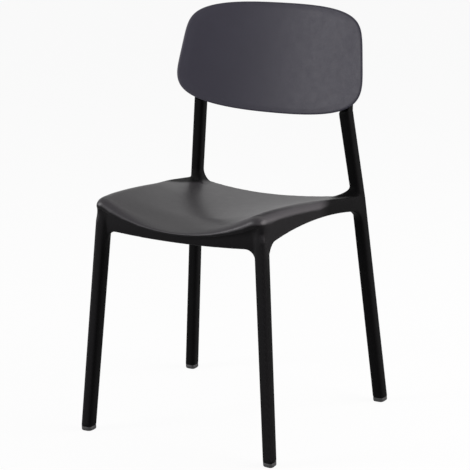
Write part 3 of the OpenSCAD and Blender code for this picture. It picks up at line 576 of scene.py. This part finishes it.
# Underside and fixing points: ribs under the sheet, bosses for the stacking pads, and recesses at
# the back of the posts that the screw covers close
RIB_T = SHEET_T / 2
RIB_DEPTH = SHEET_T * 2
RIB_FORM = 5.0  # squareness of a rib's section
RIB_FOOT_SHARE = 1.4  # how soon a rib reaches its full depth as its section turns down
RIB_STEPS = 90
RIBS_ACROSS = (0.22, 0.51, 0.80)  # shares of the run
RIBS_ALONG = (-0.6, -0.2, 0.2, 0.6)  # shares of the posts' distance from the middle
RIB_ENDS = (0.12, 0.86)  # shares of the run where the lengthwise ribs begin and end
HANDS = (("left", -1), ("right", 1))
TURN_POINTS = 64
FIT_GAP = 0.1  # clearance round a piece that is pushed into a hole
BUFFER_D = 16.0
BUFFER_H = 4.0
BUFFER_X = REAR_TOP_X * 0.74
BUFFER_PLACES = {
    f"{end}_{hand}": (side, share)
    for end, share in (("front", RIBS_ACROSS[0]), ("rear", RIBS_ACROSS[2]))
    for hand, side in HANDS
}
STEM_HOLE_D = BUFFER_D * 0.4
BOSS_R = BUFFER_D * 0.95 / 2
BOSS_H = BUFFER_H * 3.2
BOSS_EDGE = 0.6
SCREW_PITCH = 44.0
SCREW_PLACES = {
    f"{level}_{hand}": (side, row)
    for level, row in (("upper", 1), ("lower", -1))
    for hand, side in HANDS
}
COVER_D = 15.0
COVER_FLOOR = SPINE_T * 0.83  # depth at which a cover's recess begins, from the rebate
RECESS_END = 30.0  # clear of the back of the post


def turned(profile, place):
    """Closed skin of a turned piece: the profile of (radius, height) pairs goes once round the z
    axis, and place carries the points to where the piece sits."""
    a = full_turn(TURN_POINTS)
    r, z = np.asarray(profile, float).T[:, :, None]
    rings = np.stack([r * np.cos(a), r * np.sin(a), np.broadcast_to(z, (len(r), TURN_POINTS))], -1)
    return closed_skin(place(rings))


def at_buffer(name):
    """Carries points from a stacking pad's own frame, z up, to the lower face of its boss."""
    side, share = BUFFER_PLACES[name]
    y = FRONT_TOP_Y + share * SEAT_RUN
    face_z = float(sheet_height(BUFFER_X, y)) - SHEET_T - BOSS_H

    def place(points):
        """The points, moved."""
        return points + np.array([side * BUFFER_X, y - CENTRE_Y, face_z])

    return place


def at_screw(name):
    """Carries points from a screw's own frame, z to the rear, to its post."""
    side, row = SCREW_PLACES[name]

    def place(points):
        """The points, turned and moved, and mirrored for a left-hand post."""
        moved = in_spine(points + np.array([0.0, -row * SCREW_PITCH / 2, 0.0]))
        return moved * np.array([side, 1.0, 1.0])

    return place


def seat_ribs():
    """Webs under the sheet: upright strips that follow its lower face, some across and some along,
    each a superellipse in section whose upper half lies inside the sheet."""
    a = full_turn(16)
    thick = RIB_T / 2 * signed_power(np.cos(a), 2 / RIB_FORM)
    up = np.sin(a)

    def web(x, y, thick_x, thick_y):
        """One rib along x or y, with its thickness laid across it."""
        under = sheet_height(x, y) - SHEET_T
        foot = under - RIB_DEPTH * np.minimum(-up * RIB_FOOT_SHARE, 1.0)
        z = np.where(up > 0, under + SHEET_T / 2, foot)
        return loft(x + thick_x, y + thick_y, z)

    reach = REAR_TOP_X - RAIL_W / 2
    x = np.linspace(-reach, reach, RIB_STEPS)[:, None]
    y = FRONT_TOP_Y + SEAT_RUN * np.linspace(*RIB_ENDS, RIB_STEPS)[:, None]
    across = [web(x, FRONT_TOP_Y + share * SEAT_RUN, 0.0, thick) for share in RIBS_ACROSS]
    return across + [web(share * REAR_TOP_X, y, thick, 0.0) for share in RIBS_ALONG]


# The moulding: its members are joined by a voxel remesh, which gives the blends between them, and
# then its front corners are smoothed further, until lip, side roll and leg run into each other
VOXEL = 1.6 * MM
SMOOTH_FACTOR = 0.5
EVENING_ROUNDS = 5  # smoothing of the whole moulding, which takes out the voxels' steps
BLENDING_ROUNDS = 110  # smoothing of the front corners
BLEND_CENTRE = [  # a little inward, ahead and below of where leg, roll and lip meet
    OUTER_FRONT_X - 9.0,
    FRONT_TOP_Y - 2.0 - CENTRE_Y,
    SEAT_H + SEAT_RISE - 14.0,
]
BLEND_REACH = 38.0  # distance from that centre at which the smoothing ends
BLEND_FADE = 20.0  # and over which it sets in
BLEND_STRETCH = [0.8, 1.0, 1.0]  # the zone is wider from side to side
KEPT_FACES = 0.31  # share of its faces that the moulding keeps
SHARP_ANGLE = math.radians(42.0)


def worked(obj, *steps):
    """Works modifiers, given as (type, settings), into the object's mesh one after another."""
    for kind, settings in steps:
        step = obj.modifiers.new(kind.title(), kind)
        for key, value in settings.items():
            setattr(step, key, value)
    graph = bpy.context.evaluated_depsgraph_get()
    mesh = bpy.data.meshes.new_from_object(obj.evaluated_get(graph))
    obj.modifiers.clear()
    obj.data = mesh
    mesh.shade_smooth()


def weigh_corners(obj, name):
    """Vertex group for both front corners: the weight is 1 near their centre and fades over an
    S-curve of the distance, in steps of a tenth."""
    spots = np.empty(3 * len(obj.data.vertices))
    obj.data.vertices.foreach_get("co", spots)
    spots = spots.reshape(-1, 3) / MM
    spots[:, 0] = np.abs(spots[:, 0])
    away = np.linalg.norm((spots - BLEND_CENTRE) * BLEND_STRETCH, axis=1)
    tenths = np.rint(10.0 * smooth((BLEND_REACH - away) / BLEND_FADE))
    group = obj.vertex_groups.new(name=name)
    for tenth in range(1, 11):
        group.add(np.flatnonzero(tenths == tenth).tolist(), tenth / 10, "REPLACE")


members = [seat_sheet(), front_apron()]
for skin in (side_rail(), front_leg(), leg_neck(), rear_leg(), post_flare()):
    members += [skin, mirrored(skin)]
moulding = solid("seat_frame_moulding", members)
worked(
    moulding,
    ("REMESH", {"mode": "VOXEL", "voxel_size": VOXEL, "use_smooth_shade": True}),
    ("SMOOTH", {"factor": SMOOTH_FACTOR, "iterations": EVENING_ROUNDS}),
)
weigh_corners(moulding, "corner")
corner_smoothing = {
    "factor": SMOOTH_FACTOR,
    "iterations": BLENDING_ROUNDS,
    "vertex_group": "corner",
}
worked(moulding, ("SMOOTH", corner_smoothing), ("DECIMATE", {"ratio": KEPT_FACES}))
recess_r = COVER_D / 2 + FIT_GAP
recess = [
    (LEAST_R, COVER_FLOOR),
    (recess_r, COVER_FLOOR),
    (recess_r, RECESS_END),
    (LEAST_R, RECESS_END),
]
cutter = solid("cover_recesses", [turned(recess, at_screw(name)) for name in SCREW_PLACES])
worked(moulding, ("BOOLEAN", {"operation": "DIFFERENCE", "object": cutter, "solver": "MANIFOLD"}))
bpy.data.objects.remove(cutter, do_unlink=True)
boss_top = BOSS_H + SHEET_T / 2
boss = [
    (LEAST_R, BOSS_EDGE),
    (STEM_HOLE_D / 2, BOSS_EDGE),
    (STEM_HOLE_D / 2, 0.0),
    (BOSS_R - BOSS_EDGE, 0.0),
    (BOSS_R, BOSS_EDGE),
    (BOSS_R, boss_top),
    (LEAST_R, boss_top),
]
bosses = [turned(boss, at_buffer(name)) for name in BUFFER_PLACES]
underside = solid("underside", seat_ribs() + bosses)
with bpy.context.temp_override(
    active_object=moulding,
    object=moulding,
    selected_objects=[moulding, underside],
    selected_editable_objects=[moulding, underside],
):
    bpy.ops.object.join()
moulding.data.set_sharp_from_angle(angle=SHARP_ANGLE)


def emptied(owner):
    """The node tree of a material or a world, with no nodes in it."""
    owner.use_nodes = True
    owner.node_tree.nodes.clear()
    return owner.node_tree


def shader_tree(material):
    """A material's node tree with nothing but a shader and its output, and that shader."""
    tree = emptied(material)
    shader = tree.nodes.new("ShaderNodeBsdfPrincipled")
    output = tree.nodes.new("ShaderNodeOutputMaterial")
    tree.links.new(shader.outputs["BSDF"], output.inputs["Surface"])
    return tree, shader


def add_node(tree, kind, values=(), links=(), **settings):
    """One node with its settings, its socket values and its incoming links."""
    made = tree.nodes.new(kind)
    for key, value in settings.items():
        setattr(made, key, value)
    for socket, value in dict(values).items():
        made.inputs[socket].default_value = value
    for socket, source in dict(links).items():
        tree.links.new(source, made.inputs[socket])
    return made


def noise(tree, place, scale, detail, roughness):
    """Cloudy noise from 0 to 1 at the given scale."""
    settings = {"Scale": scale, "Detail": detail, "Roughness": roughness}
    return add_node(tree, "ShaderNodeTexNoise", settings, {"Vector": place}).outputs["Fac"]


def remap(tree, source, span, onto, **settings):
    """A value carried from one span to another and held at the ends."""
    spans = {"From Min": span[0], "From Max": span[1], "To Min": onto[0], "To Max": onto[1]}
    return add_node(tree, "ShaderNodeMapRange", spans, {"Value": source}, **settings).outputs[0]


def maths(tree, operation, *terms, **settings):
    """One sum, product or the like, of terms that are numbers or sockets."""
    values = {i: term for i, term in enumerate(terms) if isinstance(term, float)}
    links = {i: term for i, term in enumerate(terms) if not isinstance(term, float)}
    settings["operation"] = operation
    return add_node(tree, "ShaderNodeMath", values, links, **settings).outputs[0]


def blend(tree, share, first, second):
    """Blend by share of two colours, each a tuple or a socket."""
    mix = add_node(tree, "ShaderNodeMix", (), {0: share}, data_type="RGBA")
    for socket, colour in ((6, first), (7, second)):
        if isinstance(colour, tuple):
            mix.inputs[socket].default_value = (*colour, 1.0)
        else:
            tree.links.new(colour, mix.inputs[socket])
    return mix.outputs[2]


def add_relief(tree, shader, height, strength, depth):
    """Bump of the surface by a height from 0 to 1 times the depth, which is in metres."""
    settings = {"Strength": strength, "Distance": depth}
    bump = add_node(tree, "ShaderNodeBump", settings, {"Height": height})
    tree.links.new(bump.outputs["Normal"], shader.inputs["Normal"])


# Painted light where the frame's seat faces up: upward shares are of the surface's direction,
# places are in metres
FACES_UP = (0.05, 0.45)  # upward share over which the painted light sets in
UPPER_FRAME_Z = (0.36, 0.43)  # height over which rails and leg tops take up a faint painted light
UPPER_FRAME_PAINTED_LIGHT = 0.13
SIDE_WEIGHT = 2.7  # weight of the distance aside against the distance to the rear
PAINTED_LIGHT_END = (0.553, 0.610)  # weighted distance over which the painted light ends before the posts
NEARLY_LEVEL = (0.8, 0.985)  # upward share over which the painted highlight of the rolled edges passes to the flat
ROLLED_PAINTED_HIGHLIGHT = 2.0  # how much paler that painted highlight is
SEAT_COAT = 0.43
SEAT_COAT_ROUGHNESS = 0.33


def painted_seat_light_and_coat(tree, shader, place, surface, colour, top):
    """Painted light on the seat: a paler colour painted on what faces up, faintly on the upper
    rails and legs, ending before the posts, and paler still on the rolled edges as a painted
    highlight, in place of the light that falls there. The same share also thinly coats the plastic."""
    facing = add_node(tree, "ShaderNodeSeparateXYZ", (), {"Vector": surface.outputs["Normal"]})
    spot = add_node(tree, "ShaderNodeSeparateXYZ", (), {"Vector": place})
    upward = facing.outputs["Z"]
    # Painted light: the top colour lies on what faces up and ends before the posts.
    up = remap(tree, upward, FACES_UP, (0.0, 1.0), interpolation_type="SMOOTHSTEP")
    # Painted light by height: a faint share of the top colour on the upper rails and legs.
    high = remap(tree, spot.outputs["Z"], UPPER_FRAME_Z, (0.0, UPPER_FRAME_PAINTED_LIGHT))
    aside = maths(tree, "ABSOLUTE", spot.outputs["X"])
    to_post = maths(tree, "MULTIPLY_ADD", aside, SIDE_WEIGHT, spot.outputs["Y"])
    seat = remap(tree, to_post, PAINTED_LIGHT_END, (1.0, 0.0), interpolation_type="SMOOTHSTEP")
    painted_light_and_coat = maths(tree, "MULTIPLY", maths(tree, "MAXIMUM", up, high), seat)
    # Painted highlight: the rolled edges take a paler copy of the top colour.
    rolled = remap(tree, upward, NEARLY_LEVEL, (1.0, 0.0), interpolation_type="SMOOTHSTEP")
    paler = tuple(ROLLED_PAINTED_HIGHLIGHT * c for c in top)
    tree.links.new(maths(tree, "MULTIPLY", painted_light_and_coat, SEAT_COAT), shader.inputs["Coat Weight"])
    shader.inputs["Coat Roughness"].default_value = SEAT_COAT_ROUGHNESS
    return blend(tree, painted_light_and_coat, colour, blend(tree, rolled, top, paler))


def moulded_plastic(name, base, worn, top, specular, rough, grain):
    """Textured polypropylene: an even dark tone with a faint cloudiness, paler where edges are
    rubbed and, given a top tone, with that tone painted on as light where it faces up, with a fine
    spark-eroded grain in the bump and slow changes of sheen in the roughness."""
    material = bpy.data.materials.new(name)
    tree, shader = shader_tree(material)
    place = add_node(tree, "ShaderNodeTexCoord").outputs["Object"]
    surface = add_node(tree, "ShaderNodeNewGeometry")
    cloud = noise(tree, place, scale=14.0, detail=4.0, roughness=0.6)
    scuff = noise(tree, place, scale=60.0, detail=6.0, roughness=0.7)
    rub = remap(tree, surface.outputs["Pointiness"], span=(0.53, 0.62), onto=(0.0, 0.55))
    tone = remap(tree, cloud, span=(0.35, 0.7), onto=(0.0, 0.22))
    colour = blend(tree, maths(tree, "ADD", rub, tone, use_clamp=True), base, worn)
    # A given top tone is painted on as light where the seat faces up.
    if top is not None:
        colour = painted_seat_light_and_coat(tree, shader, place, surface, colour, top)
    tree.links.new(colour, shader.inputs["Base Color"])
    sheen = remap(tree, scuff, span=(0.3, 0.7), onto=rough)
    tree.links.new(sheen, shader.inputs["Roughness"])
    link = {"Vector": place}
    cells = add_node(tree, "ShaderNodeTexVoronoi", {"Scale": 620.0}, link, feature="SMOOTH_F1")
    specks = noise(tree, place, scale=950.0, detail=2.0, roughness=0.55)
    relief = maths(tree, "ADD", specks, cells.outputs["Distance"])
    add_relief(tree, shader, relief, strength=grain, depth=0.0003)
    shader.inputs["Specular IOR Level"].default_value = specular
    return material


frame_plastic = moulded_plastic(
    "moulded_frame_plastic",
    base=(0.0026, 0.0025, 0.0027),
    worn=(0.0075, 0.0074, 0.0078),
    # top: the paler colour painted on as light where the seat faces up
    top=(0.0225, 0.021, 0.0232),
    specular=0.03,
    rough=(0.5, 0.6),
    grain=0.16,
)
moulding.data.materials.clear()
moulding.data.materials.append(frame_plastic)
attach(moulding, "root")
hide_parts("seat_frame")

# Backrest
# A second moulding in the same plastic, with a paler base colour than the frame's as painted light
# on
# its face: a thin shell, bent from side to side and drawn to a rounded outline with a full round
# rim.
# Two pads on its back carry it on the posts' rebates.
BACK_TOP_FORM = 6.3  # squareness of its upper edge
BACK_TOP_SIDE_FORM = 3.3  # squareness of its sides above half height
OUTLINE_POINTS = 240
MIDDLE_SHARE = 0.003  # size of the innermost outline, against the rim
THIN_FROM = 0.9  # share of the way out at which the shell begins to thin
RIM_T_SHARE = 0.62  # its thickness at the rim
RIM_FROM = 0.965  # share of the way out at which the rim begins to close
RIM_FORM = 2.4  # squareness of the rim
PAD_W = 24.0
PAD_EDGE = 1.2
PAD_FORM = 10.0  # squareness of a pad's outline


def back_outline(a, share):
    """Outline in the shell's own surface: a superellipse, squarer above than below, and narrower
    to the top, drawn in evenly by the share."""
    upper = np.sin(a) >= 0
    form = np.where(upper, BACK_TOP_FORM, BACK_LOW_FORM)
    side_form = np.where(upper, BACK_TOP_SIDE_FORM, BACK_LOW_SIDE_FORM)
    v = share * BACK_HALF * signed_power(np.sin(a), 2 / form)
    half = BACK_W / 2 - BACK_TAPER * v / share / BACK_LEN
    return np.stack([share * half * signed_power(np.cos(a), 2 / side_form), v], -1)


def outline_angles(count):
    """Angles that space the backrest's outline evenly: equal steps of its measured length."""
    dense = np.linspace(0.0, 2.0 * np.pi, 20001)
    steps = np.hypot(*np.diff(back_outline(dense, 1.0), axis=0).T)
    length = np.concatenate([[0.0], np.cumsum(steps)])
    return np.interp(np.arange(count) / count * length[-1], length, dense)


def back_shell():
    """Closed shell: outlines drawn in from the rim to the middle on the front face and on the rear
    one, with the thickness closing over a superellipse in the last share of the way out."""
    a = outline_angles(OUTLINE_POINTS)
    flat = np.linspace(MIDDLE_SHARE, RIM_FROM, 46)
    rim = RIM_FROM + (1.0 - RIM_FROM) * np.sin(quarter_turn(12))[1:]
    share = np.concatenate([flat, rim])
    close = np.clip((share - RIM_FROM) / (1.0 - RIM_FROM), 0.0, 1.0)
    thin = 1.0 - (1.0 - RIM_T_SHARE) * np.clip((share - THIN_FROM) / (1.0 - THIN_FROM), 0.0, 1.0)
    half = BACK_T / 2 * thin * np.maximum(1.0 - close**RIM_FORM, 0.0) ** (1 / RIM_FORM)
    rings = []
    for side, order in ((-1.0, slice(None)), (1.0, slice(-2, None, -1))):
        for s, h in zip(share[order], half[order]):
            u, v = back_outline(a, s).T
            rings.append(back_point(u, v) + side * h * back_normal(u, v))
    return closed_skin(np.stack(rings))


def back_pad():
    """Pad behind the shell, from its middle surface to the rebate: superellipse outlines stacked
    along z, which draw in by a quarter circle at both ends."""
    deep = PAD_T + BACK_T / 2
    a = full_turn(TURN_POINTS)
    inset, rise = quarter_round(PAD_EDGE, 7)
    inset = np.concatenate([inset, inset[::-1]])[:, None]
    z = np.concatenate([-deep / 2 + rise, deep / 2 - rise[::-1]])[:, None]
    x = (PAD_W / 2 - inset) * signed_power(np.cos(a), 2 / PAD_FORM)
    y = (PAD_LEN / 2 - inset) * signed_power(np.sin(a), 2 / PAD_FORM)
    block = np.stack([x, y, np.broadcast_to(z - deep / 2, x.shape)], -1)
    return closed_skin(in_spine(block))


pad = back_pad()
backrest = solid("backrest_moulding", [back_shell(), pad, mirrored(pad)])
backrest.data.set_sharp_from_angle(angle=SHARP_ANGLE)
# The same plastic as the frame with a paler base: painted light in place of the light on the
# backrest's face.
painted_lighter_back_plastic = moulded_plastic(
    "moulded_back_plastic",
    base=(0.044, 0.042, 0.058),
    worn=(0.058, 0.055, 0.075),
    top=None,
    specular=0.17,
    rough=(0.4, 0.48),
    grain=0.16,
)
backrest.data.materials.append(painted_lighter_back_plastic)
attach(backrest, "root")
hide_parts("backrest")

# Foot glides
# Four nylon blocks pressed into the leg ends by a round stem. Each follows the leg's rounded square
# just inside its outline and draws in to a smaller sole over a soft lower edge.
GLIDE_NARROWER = 0.7  # than its leg's end
SOLE_H = 3.0  # height over which the sole draws in
SOLE_IN = 2.6
GLIDE_EDGE = 0.3


def foot_glide(front):
    """Outlines up the glide: a sole drawn in over a quarter ellipse, then the straight band."""
    x, y = leg_axis(GLIDE_H, front)
    width, skew = (FRONT_FOOT_W, FRONT_SKEW) if front else (REAR_FOOT_W, REAR_SKEW)
    inset, rise = quarter_round(1.0, 9)
    z = np.concatenate([SOLE_H * rise, [GLIDE_H - GLIDE_EDGE, GLIDE_H]])
    inset = np.concatenate([SOLE_IN * inset, [0.0, GLIDE_EDGE]])
    widths = width - GLIDE_NARROWER - 2 * inset
    return closed_skin(np.stack([rounded_square((x, y, h), w, skew) for h, w in zip(z, widths)]))


def smooth_plastic(name, colour, roughness, streak):
    """Unpainted smooth plastic: one tone, clouded slightly and scuffed in fine streaks."""
    material = bpy.data.materials.new(name)
    tree, shader = shader_tree(material)
    place = add_node(tree, "ShaderNodeTexCoord").outputs["Object"]
    stretch = add_node(tree, "ShaderNodeMapping", {"Scale": (1.0, 1.0, 0.25)}, {"Vector": place})
    scuff = noise(tree, stretch.outputs[0], scale=420.0, detail=5.0, roughness=0.65)
    paler = remap(tree, scuff, span=(0.35, 0.7), onto=(0.0, 1.0))
    tree.links.new(blend(tree, paler, colour, streak), shader.inputs["Base Color"])
    sheen = remap(tree, scuff, span=(0.3, 0.7), onto=(roughness, roughness + 0.15))
    tree.links.new(sheen, shader.inputs["Roughness"])
    add_relief(tree, shader, scuff, strength=0.1, depth=0.0002)
    return material


nylon = smooth_plastic("glide_nylon", (0.005, 0.005, 0.0055), 0.5, (0.014, 0.014, 0.015))
for end, front in (("front", True), ("rear", False)):
    for hand, side in HANDS:
        skin = foot_glide(front)
        foot = solid(f"{end}_{hand}_foot_glide", [skin if side > 0 else mirrored(skin)])
        foot.data.materials.append(nylon)
        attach(foot, "root")
        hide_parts(f"{end}_{hand}_glide")

# Screw covers
# Four push-in plugs close the counterbores at the back of the posts. Each has a flange with a soft
# edge and a shallow hollow in its face, and below it a plug that grips the counterbore. They keep
# the plain plastic of the solid covers.
COUNTERBORE_D = 13.0
PLUG_LEN = 0.8
PLUG_EDGE = 0.3
FLANGE_T = (SPINE_T - COVER_FLOOR) * 0.55
FLANGE_EDGE = 0.5
FLANGE_CORNER = 0.15  # how far the middle of that edge stands in from its sharp corner
HOLLOW_R_SHARES = (0.6, 0.55)  # rim and floor of the hollow, as shares of the flange
HOLLOW_DEPTHS = (0.25, 0.3)  # at the edge of its floor and at its middle
SMALL_SHARP_ANGLE = math.radians(38.0)

flange_r, plug_r = COVER_D / 2, COUNTERBORE_D / 2 - FIT_GAP
plug_z, face_z = COVER_FLOOR - PLUG_LEN, COVER_FLOOR + FLANGE_T
cover_profile = [
    (LEAST_R, plug_z),
    (plug_r - PLUG_EDGE, plug_z),
    (plug_r, plug_z + PLUG_EDGE),
    (plug_r, COVER_FLOOR),
    (flange_r, COVER_FLOOR),
    (flange_r, face_z - FLANGE_EDGE),
    (flange_r - FLANGE_CORNER, face_z - FLANGE_CORNER),
    (flange_r - FLANGE_EDGE, face_z),
    (flange_r * HOLLOW_R_SHARES[0], face_z),
    (flange_r * HOLLOW_R_SHARES[1], face_z - HOLLOW_DEPTHS[0]),
    (LEAST_R, face_z - HOLLOW_DEPTHS[1]),
]
for name in SCREW_PLACES:
    cover = solid(f"{name}_cover_plug", [turned(cover_profile, at_screw(name))])
    cover.data.set_sharp_from_angle(angle=SMALL_SHARP_ANGLE)
    cover.data.materials.append(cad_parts[f"{name}_screw_cover"].material_slots[0].material)
    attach(cover, "root")
    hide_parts(f"{name}_screw_cover")

# Stacking pads
# Soft rubber buttons under the seat, each held by its stem in a boss, so that a chair set on top
# of another rests on rubber. They keep the plain rubber of the solid pads.
STEM_R = 3.0
STEM_LEN = 6.0
HEAD_EDGE = 0.3
HEAD_ROUNDING = ((0.75, 1.0), (0.92, 0.9), (1.0, 0.6))  # shares of radius and height, from below

head_r = BUFFER_D / 2
buffer_profile = [
    (LEAST_R, -BUFFER_H),
    *((head_r * share, -BUFFER_H * depth) for share, depth in HEAD_ROUNDING),
    (head_r, -FIT_GAP - HEAD_EDGE),
    (head_r - HEAD_EDGE, -FIT_GAP),
    (STEM_R, -FIT_GAP),
    (STEM_R, STEM_LEN),
    (LEAST_R, STEM_LEN),
]
for name in BUFFER_PLACES:
    button = solid(f"{name}_buffer", [turned(buffer_profile, at_buffer(name))])
    button.data.set_sharp_from_angle(angle=SMALL_SHARP_ANGLE)
    button.data.materials.append(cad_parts[f"{name}_stack_pad"].material_slots[0].material)
    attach(button, "root")
    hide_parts(f"{name}_stack_pad")

# Hidden fixings
# Socket-head screws, their washers and the brass inserts in the backrest's pads keep their turned
# shapes; they get a zinc finish and a turned brass one.


def turned_metal(name, colour, roughness):
    """Metal turned on a lathe: fine streaks of roughness across the piece and a slight tarnish."""
    material = bpy.data.materials.new(name)
    tree, shader = shader_tree(material)
    place = add_node(tree, "ShaderNodeTexCoord").outputs["Object"]
    stretch = add_node(tree, "ShaderNodeMapping", {"Scale": (1.0, 12.0, 1.0)}, {"Vector": place})
    streaks = noise(tree, stretch.outputs[0], scale=900.0, detail=4.0, roughness=0.6)
    tarnish = tuple(c * 0.7 for c in colour)
    tree.links.new(blend(tree, streaks, colour, tarnish), shader.inputs["Base Color"])
    sheen = remap(tree, streaks, span=(0.3, 0.7), onto=(roughness, roughness + 0.2))
    tree.links.new(sheen, shader.inputs["Roughness"])
    shader.inputs["Metallic"].default_value = 1.0
    return material


zinc = turned_metal("zinc_steel", (0.58, 0.59, 0.60), 0.3)
brass = turned_metal("turned_brass", (0.72, 0.52, 0.22), 0.28)
for name in SCREW_PLACES:
    for part, metal in (("screw", zinc), ("washer", zinc), ("insert", brass)):
        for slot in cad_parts[f"{name}_{part}"].material_slots:
            slot.material = metal

# Studio
# A plain white floor with the chair's soft shadow, a wide window on either side, a weak light
# overhead from behind, and a camera at the photograph's height and angle.
FLOOR_HALF = 9.0
FLOOR_SEEN_WHITE = 0.94  # how much of the floor's look is plain white, the rest being its shadow


def seen_rays(tree):
    """1 where the camera, a reflection or a clear piece sees, and 0 where light falls."""
    rays = add_node(tree, "ShaderNodeLightPath").outputs
    seen = maths(tree, "MAXIMUM", rays["Is Camera Ray"], rays["Is Glossy Ray"])
    return maths(tree, "MAXIMUM", seen, rays["Is Transmission Ray"])


floor_mesh = bpy.data.meshes.new("floor")
corners = ((-1, -1), (1, -1), (1, 1), (-1, 1))
floor_points = [(x * FLOOR_HALF, y * FLOOR_HALF, 0.0) for x, y in corners]
floor_mesh.from_pydata(floor_points, [], [(0, 1, 2, 3)])
floor = bpy.data.objects.new("floor", floor_mesh)
bpy.context.scene.collection.objects.link(floor)
pale_floor = bpy.data.materials.new("pale_floor")
tree, shader = shader_tree(pale_floor)
shader.inputs["Base Color"].default_value = (0.9, 0.9, 0.9, 1.0)
shader.inputs["Roughness"].default_value = 0.9
shader.inputs["Specular IOR Level"].default_value = 0.0
white = add_node(tree, "ShaderNodeEmission", {"Color": (1.0, 1.0, 1.0, 1.0), "Strength": 1.0})
seen = maths(tree, "MULTIPLY", seen_rays(tree), FLOOR_SEEN_WHITE)
parts = {"Fac": seen, 1: shader.outputs[0], 2: white.outputs[0]}
look = add_node(tree, "ShaderNodeMixShader", (), parts)
tree.links.new(look.outputs[0], tree.nodes["Material Output"].inputs["Surface"])
floor_mesh.materials.append(pale_floor)

world = bpy.data.worlds.new("studio")
bpy.context.scene.world = world
tree = emptied(world)
white = add_node(tree, "ShaderNodeBackground", {"Color": (1.0, 1.0, 1.0, 1.0), "Strength": 1.0})
air = add_node(tree, "ShaderNodeBackground", {"Color": (0.95, 0.97, 1.0, 1.0), "Strength": 0.1})
parts = {"Fac": seen_rays(tree), 1: air.outputs[0], 2: white.outputs[0]}
look = add_node(tree, "ShaderNodeMixShader", (), parts)
add_node(tree, "ShaderNodeOutputWorld", (), {"Surface": look.outputs[0]})


def soft_light(name, place, target, size, power, colour):
    """A rectangular soft light at a place, turned to face its target."""
    data = bpy.data.lights.new(name, "AREA")
    data.shape = "RECTANGLE"
    data.size, data.size_y = size
    data.energy = power
    data.color = colour
    lamp = bpy.data.objects.new(name, data)
    lamp.location = place
    lamp.rotation_euler = (Vector(target) - Vector(place)).to_track_quat("-Z", "Y").to_euler()
    bpy.context.scene.collection.objects.link(lamp)


soft_light(
    "overhead",
    place=(-0.3, 0.9, 2.2),
    target=(0.0, 0.0, 0.4),
    size=(2.2, 1.2),
    power=10.0,
    colour=(1.0, 0.99, 0.98),
)
soft_light(
    "right_window",
    place=(2.5, 0.9, 1.5),
    target=(0.0, 0.0, 0.45),
    size=(2.4, 2.0),
    power=95.0,
    colour=(1.0, 0.95, 0.95),
)
soft_light(
    "left_window",
    place=(-2.4, -1.9, 1.3),
    target=(0.0, 0.1, 0.6),
    size=(1.2, 1.6),
    power=66.0,
    colour=(1.0, 0.98, 1.0),
)

CAMERA_PLACE = (2.162248, -3.187658, 1.469839)
CAMERA_TURN = math.radians(33.9977)  # from straight in front towards the chair's +X side
CAMERA_TILT = math.radians(15.8963)  # down from level
CAMERA_ROLL = math.radians(-3.0)
FOCAL_PIXELS = 2000.0
PHOTO_W_PIXELS = 470.0
SENSOR_W = 36.0

view = bpy.data.cameras.new("photo_view")
view.lens = FOCAL_PIXELS * SENSOR_W / PHOTO_W_PIXELS
view.sensor_width = SENSOR_W
view.clip_end = 50.0
camera = bpy.data.objects.new("photo_view", view)
aim = Matrix.Rotation(CAMERA_TURN, 4, "Z") @ Matrix.Rotation(math.pi / 2 - CAMERA_TILT, 4, "X")
aim = aim @ Matrix.Rotation(CAMERA_ROLL, 4, "Z")
camera.matrix_world = Matrix.Translation(CAMERA_PLACE) @ aim
bpy.context.scene.collection.objects.link(camera)
bpy.context.scene.camera = camera
bpy.context.scene.view_settings.view_transform = "Standard"
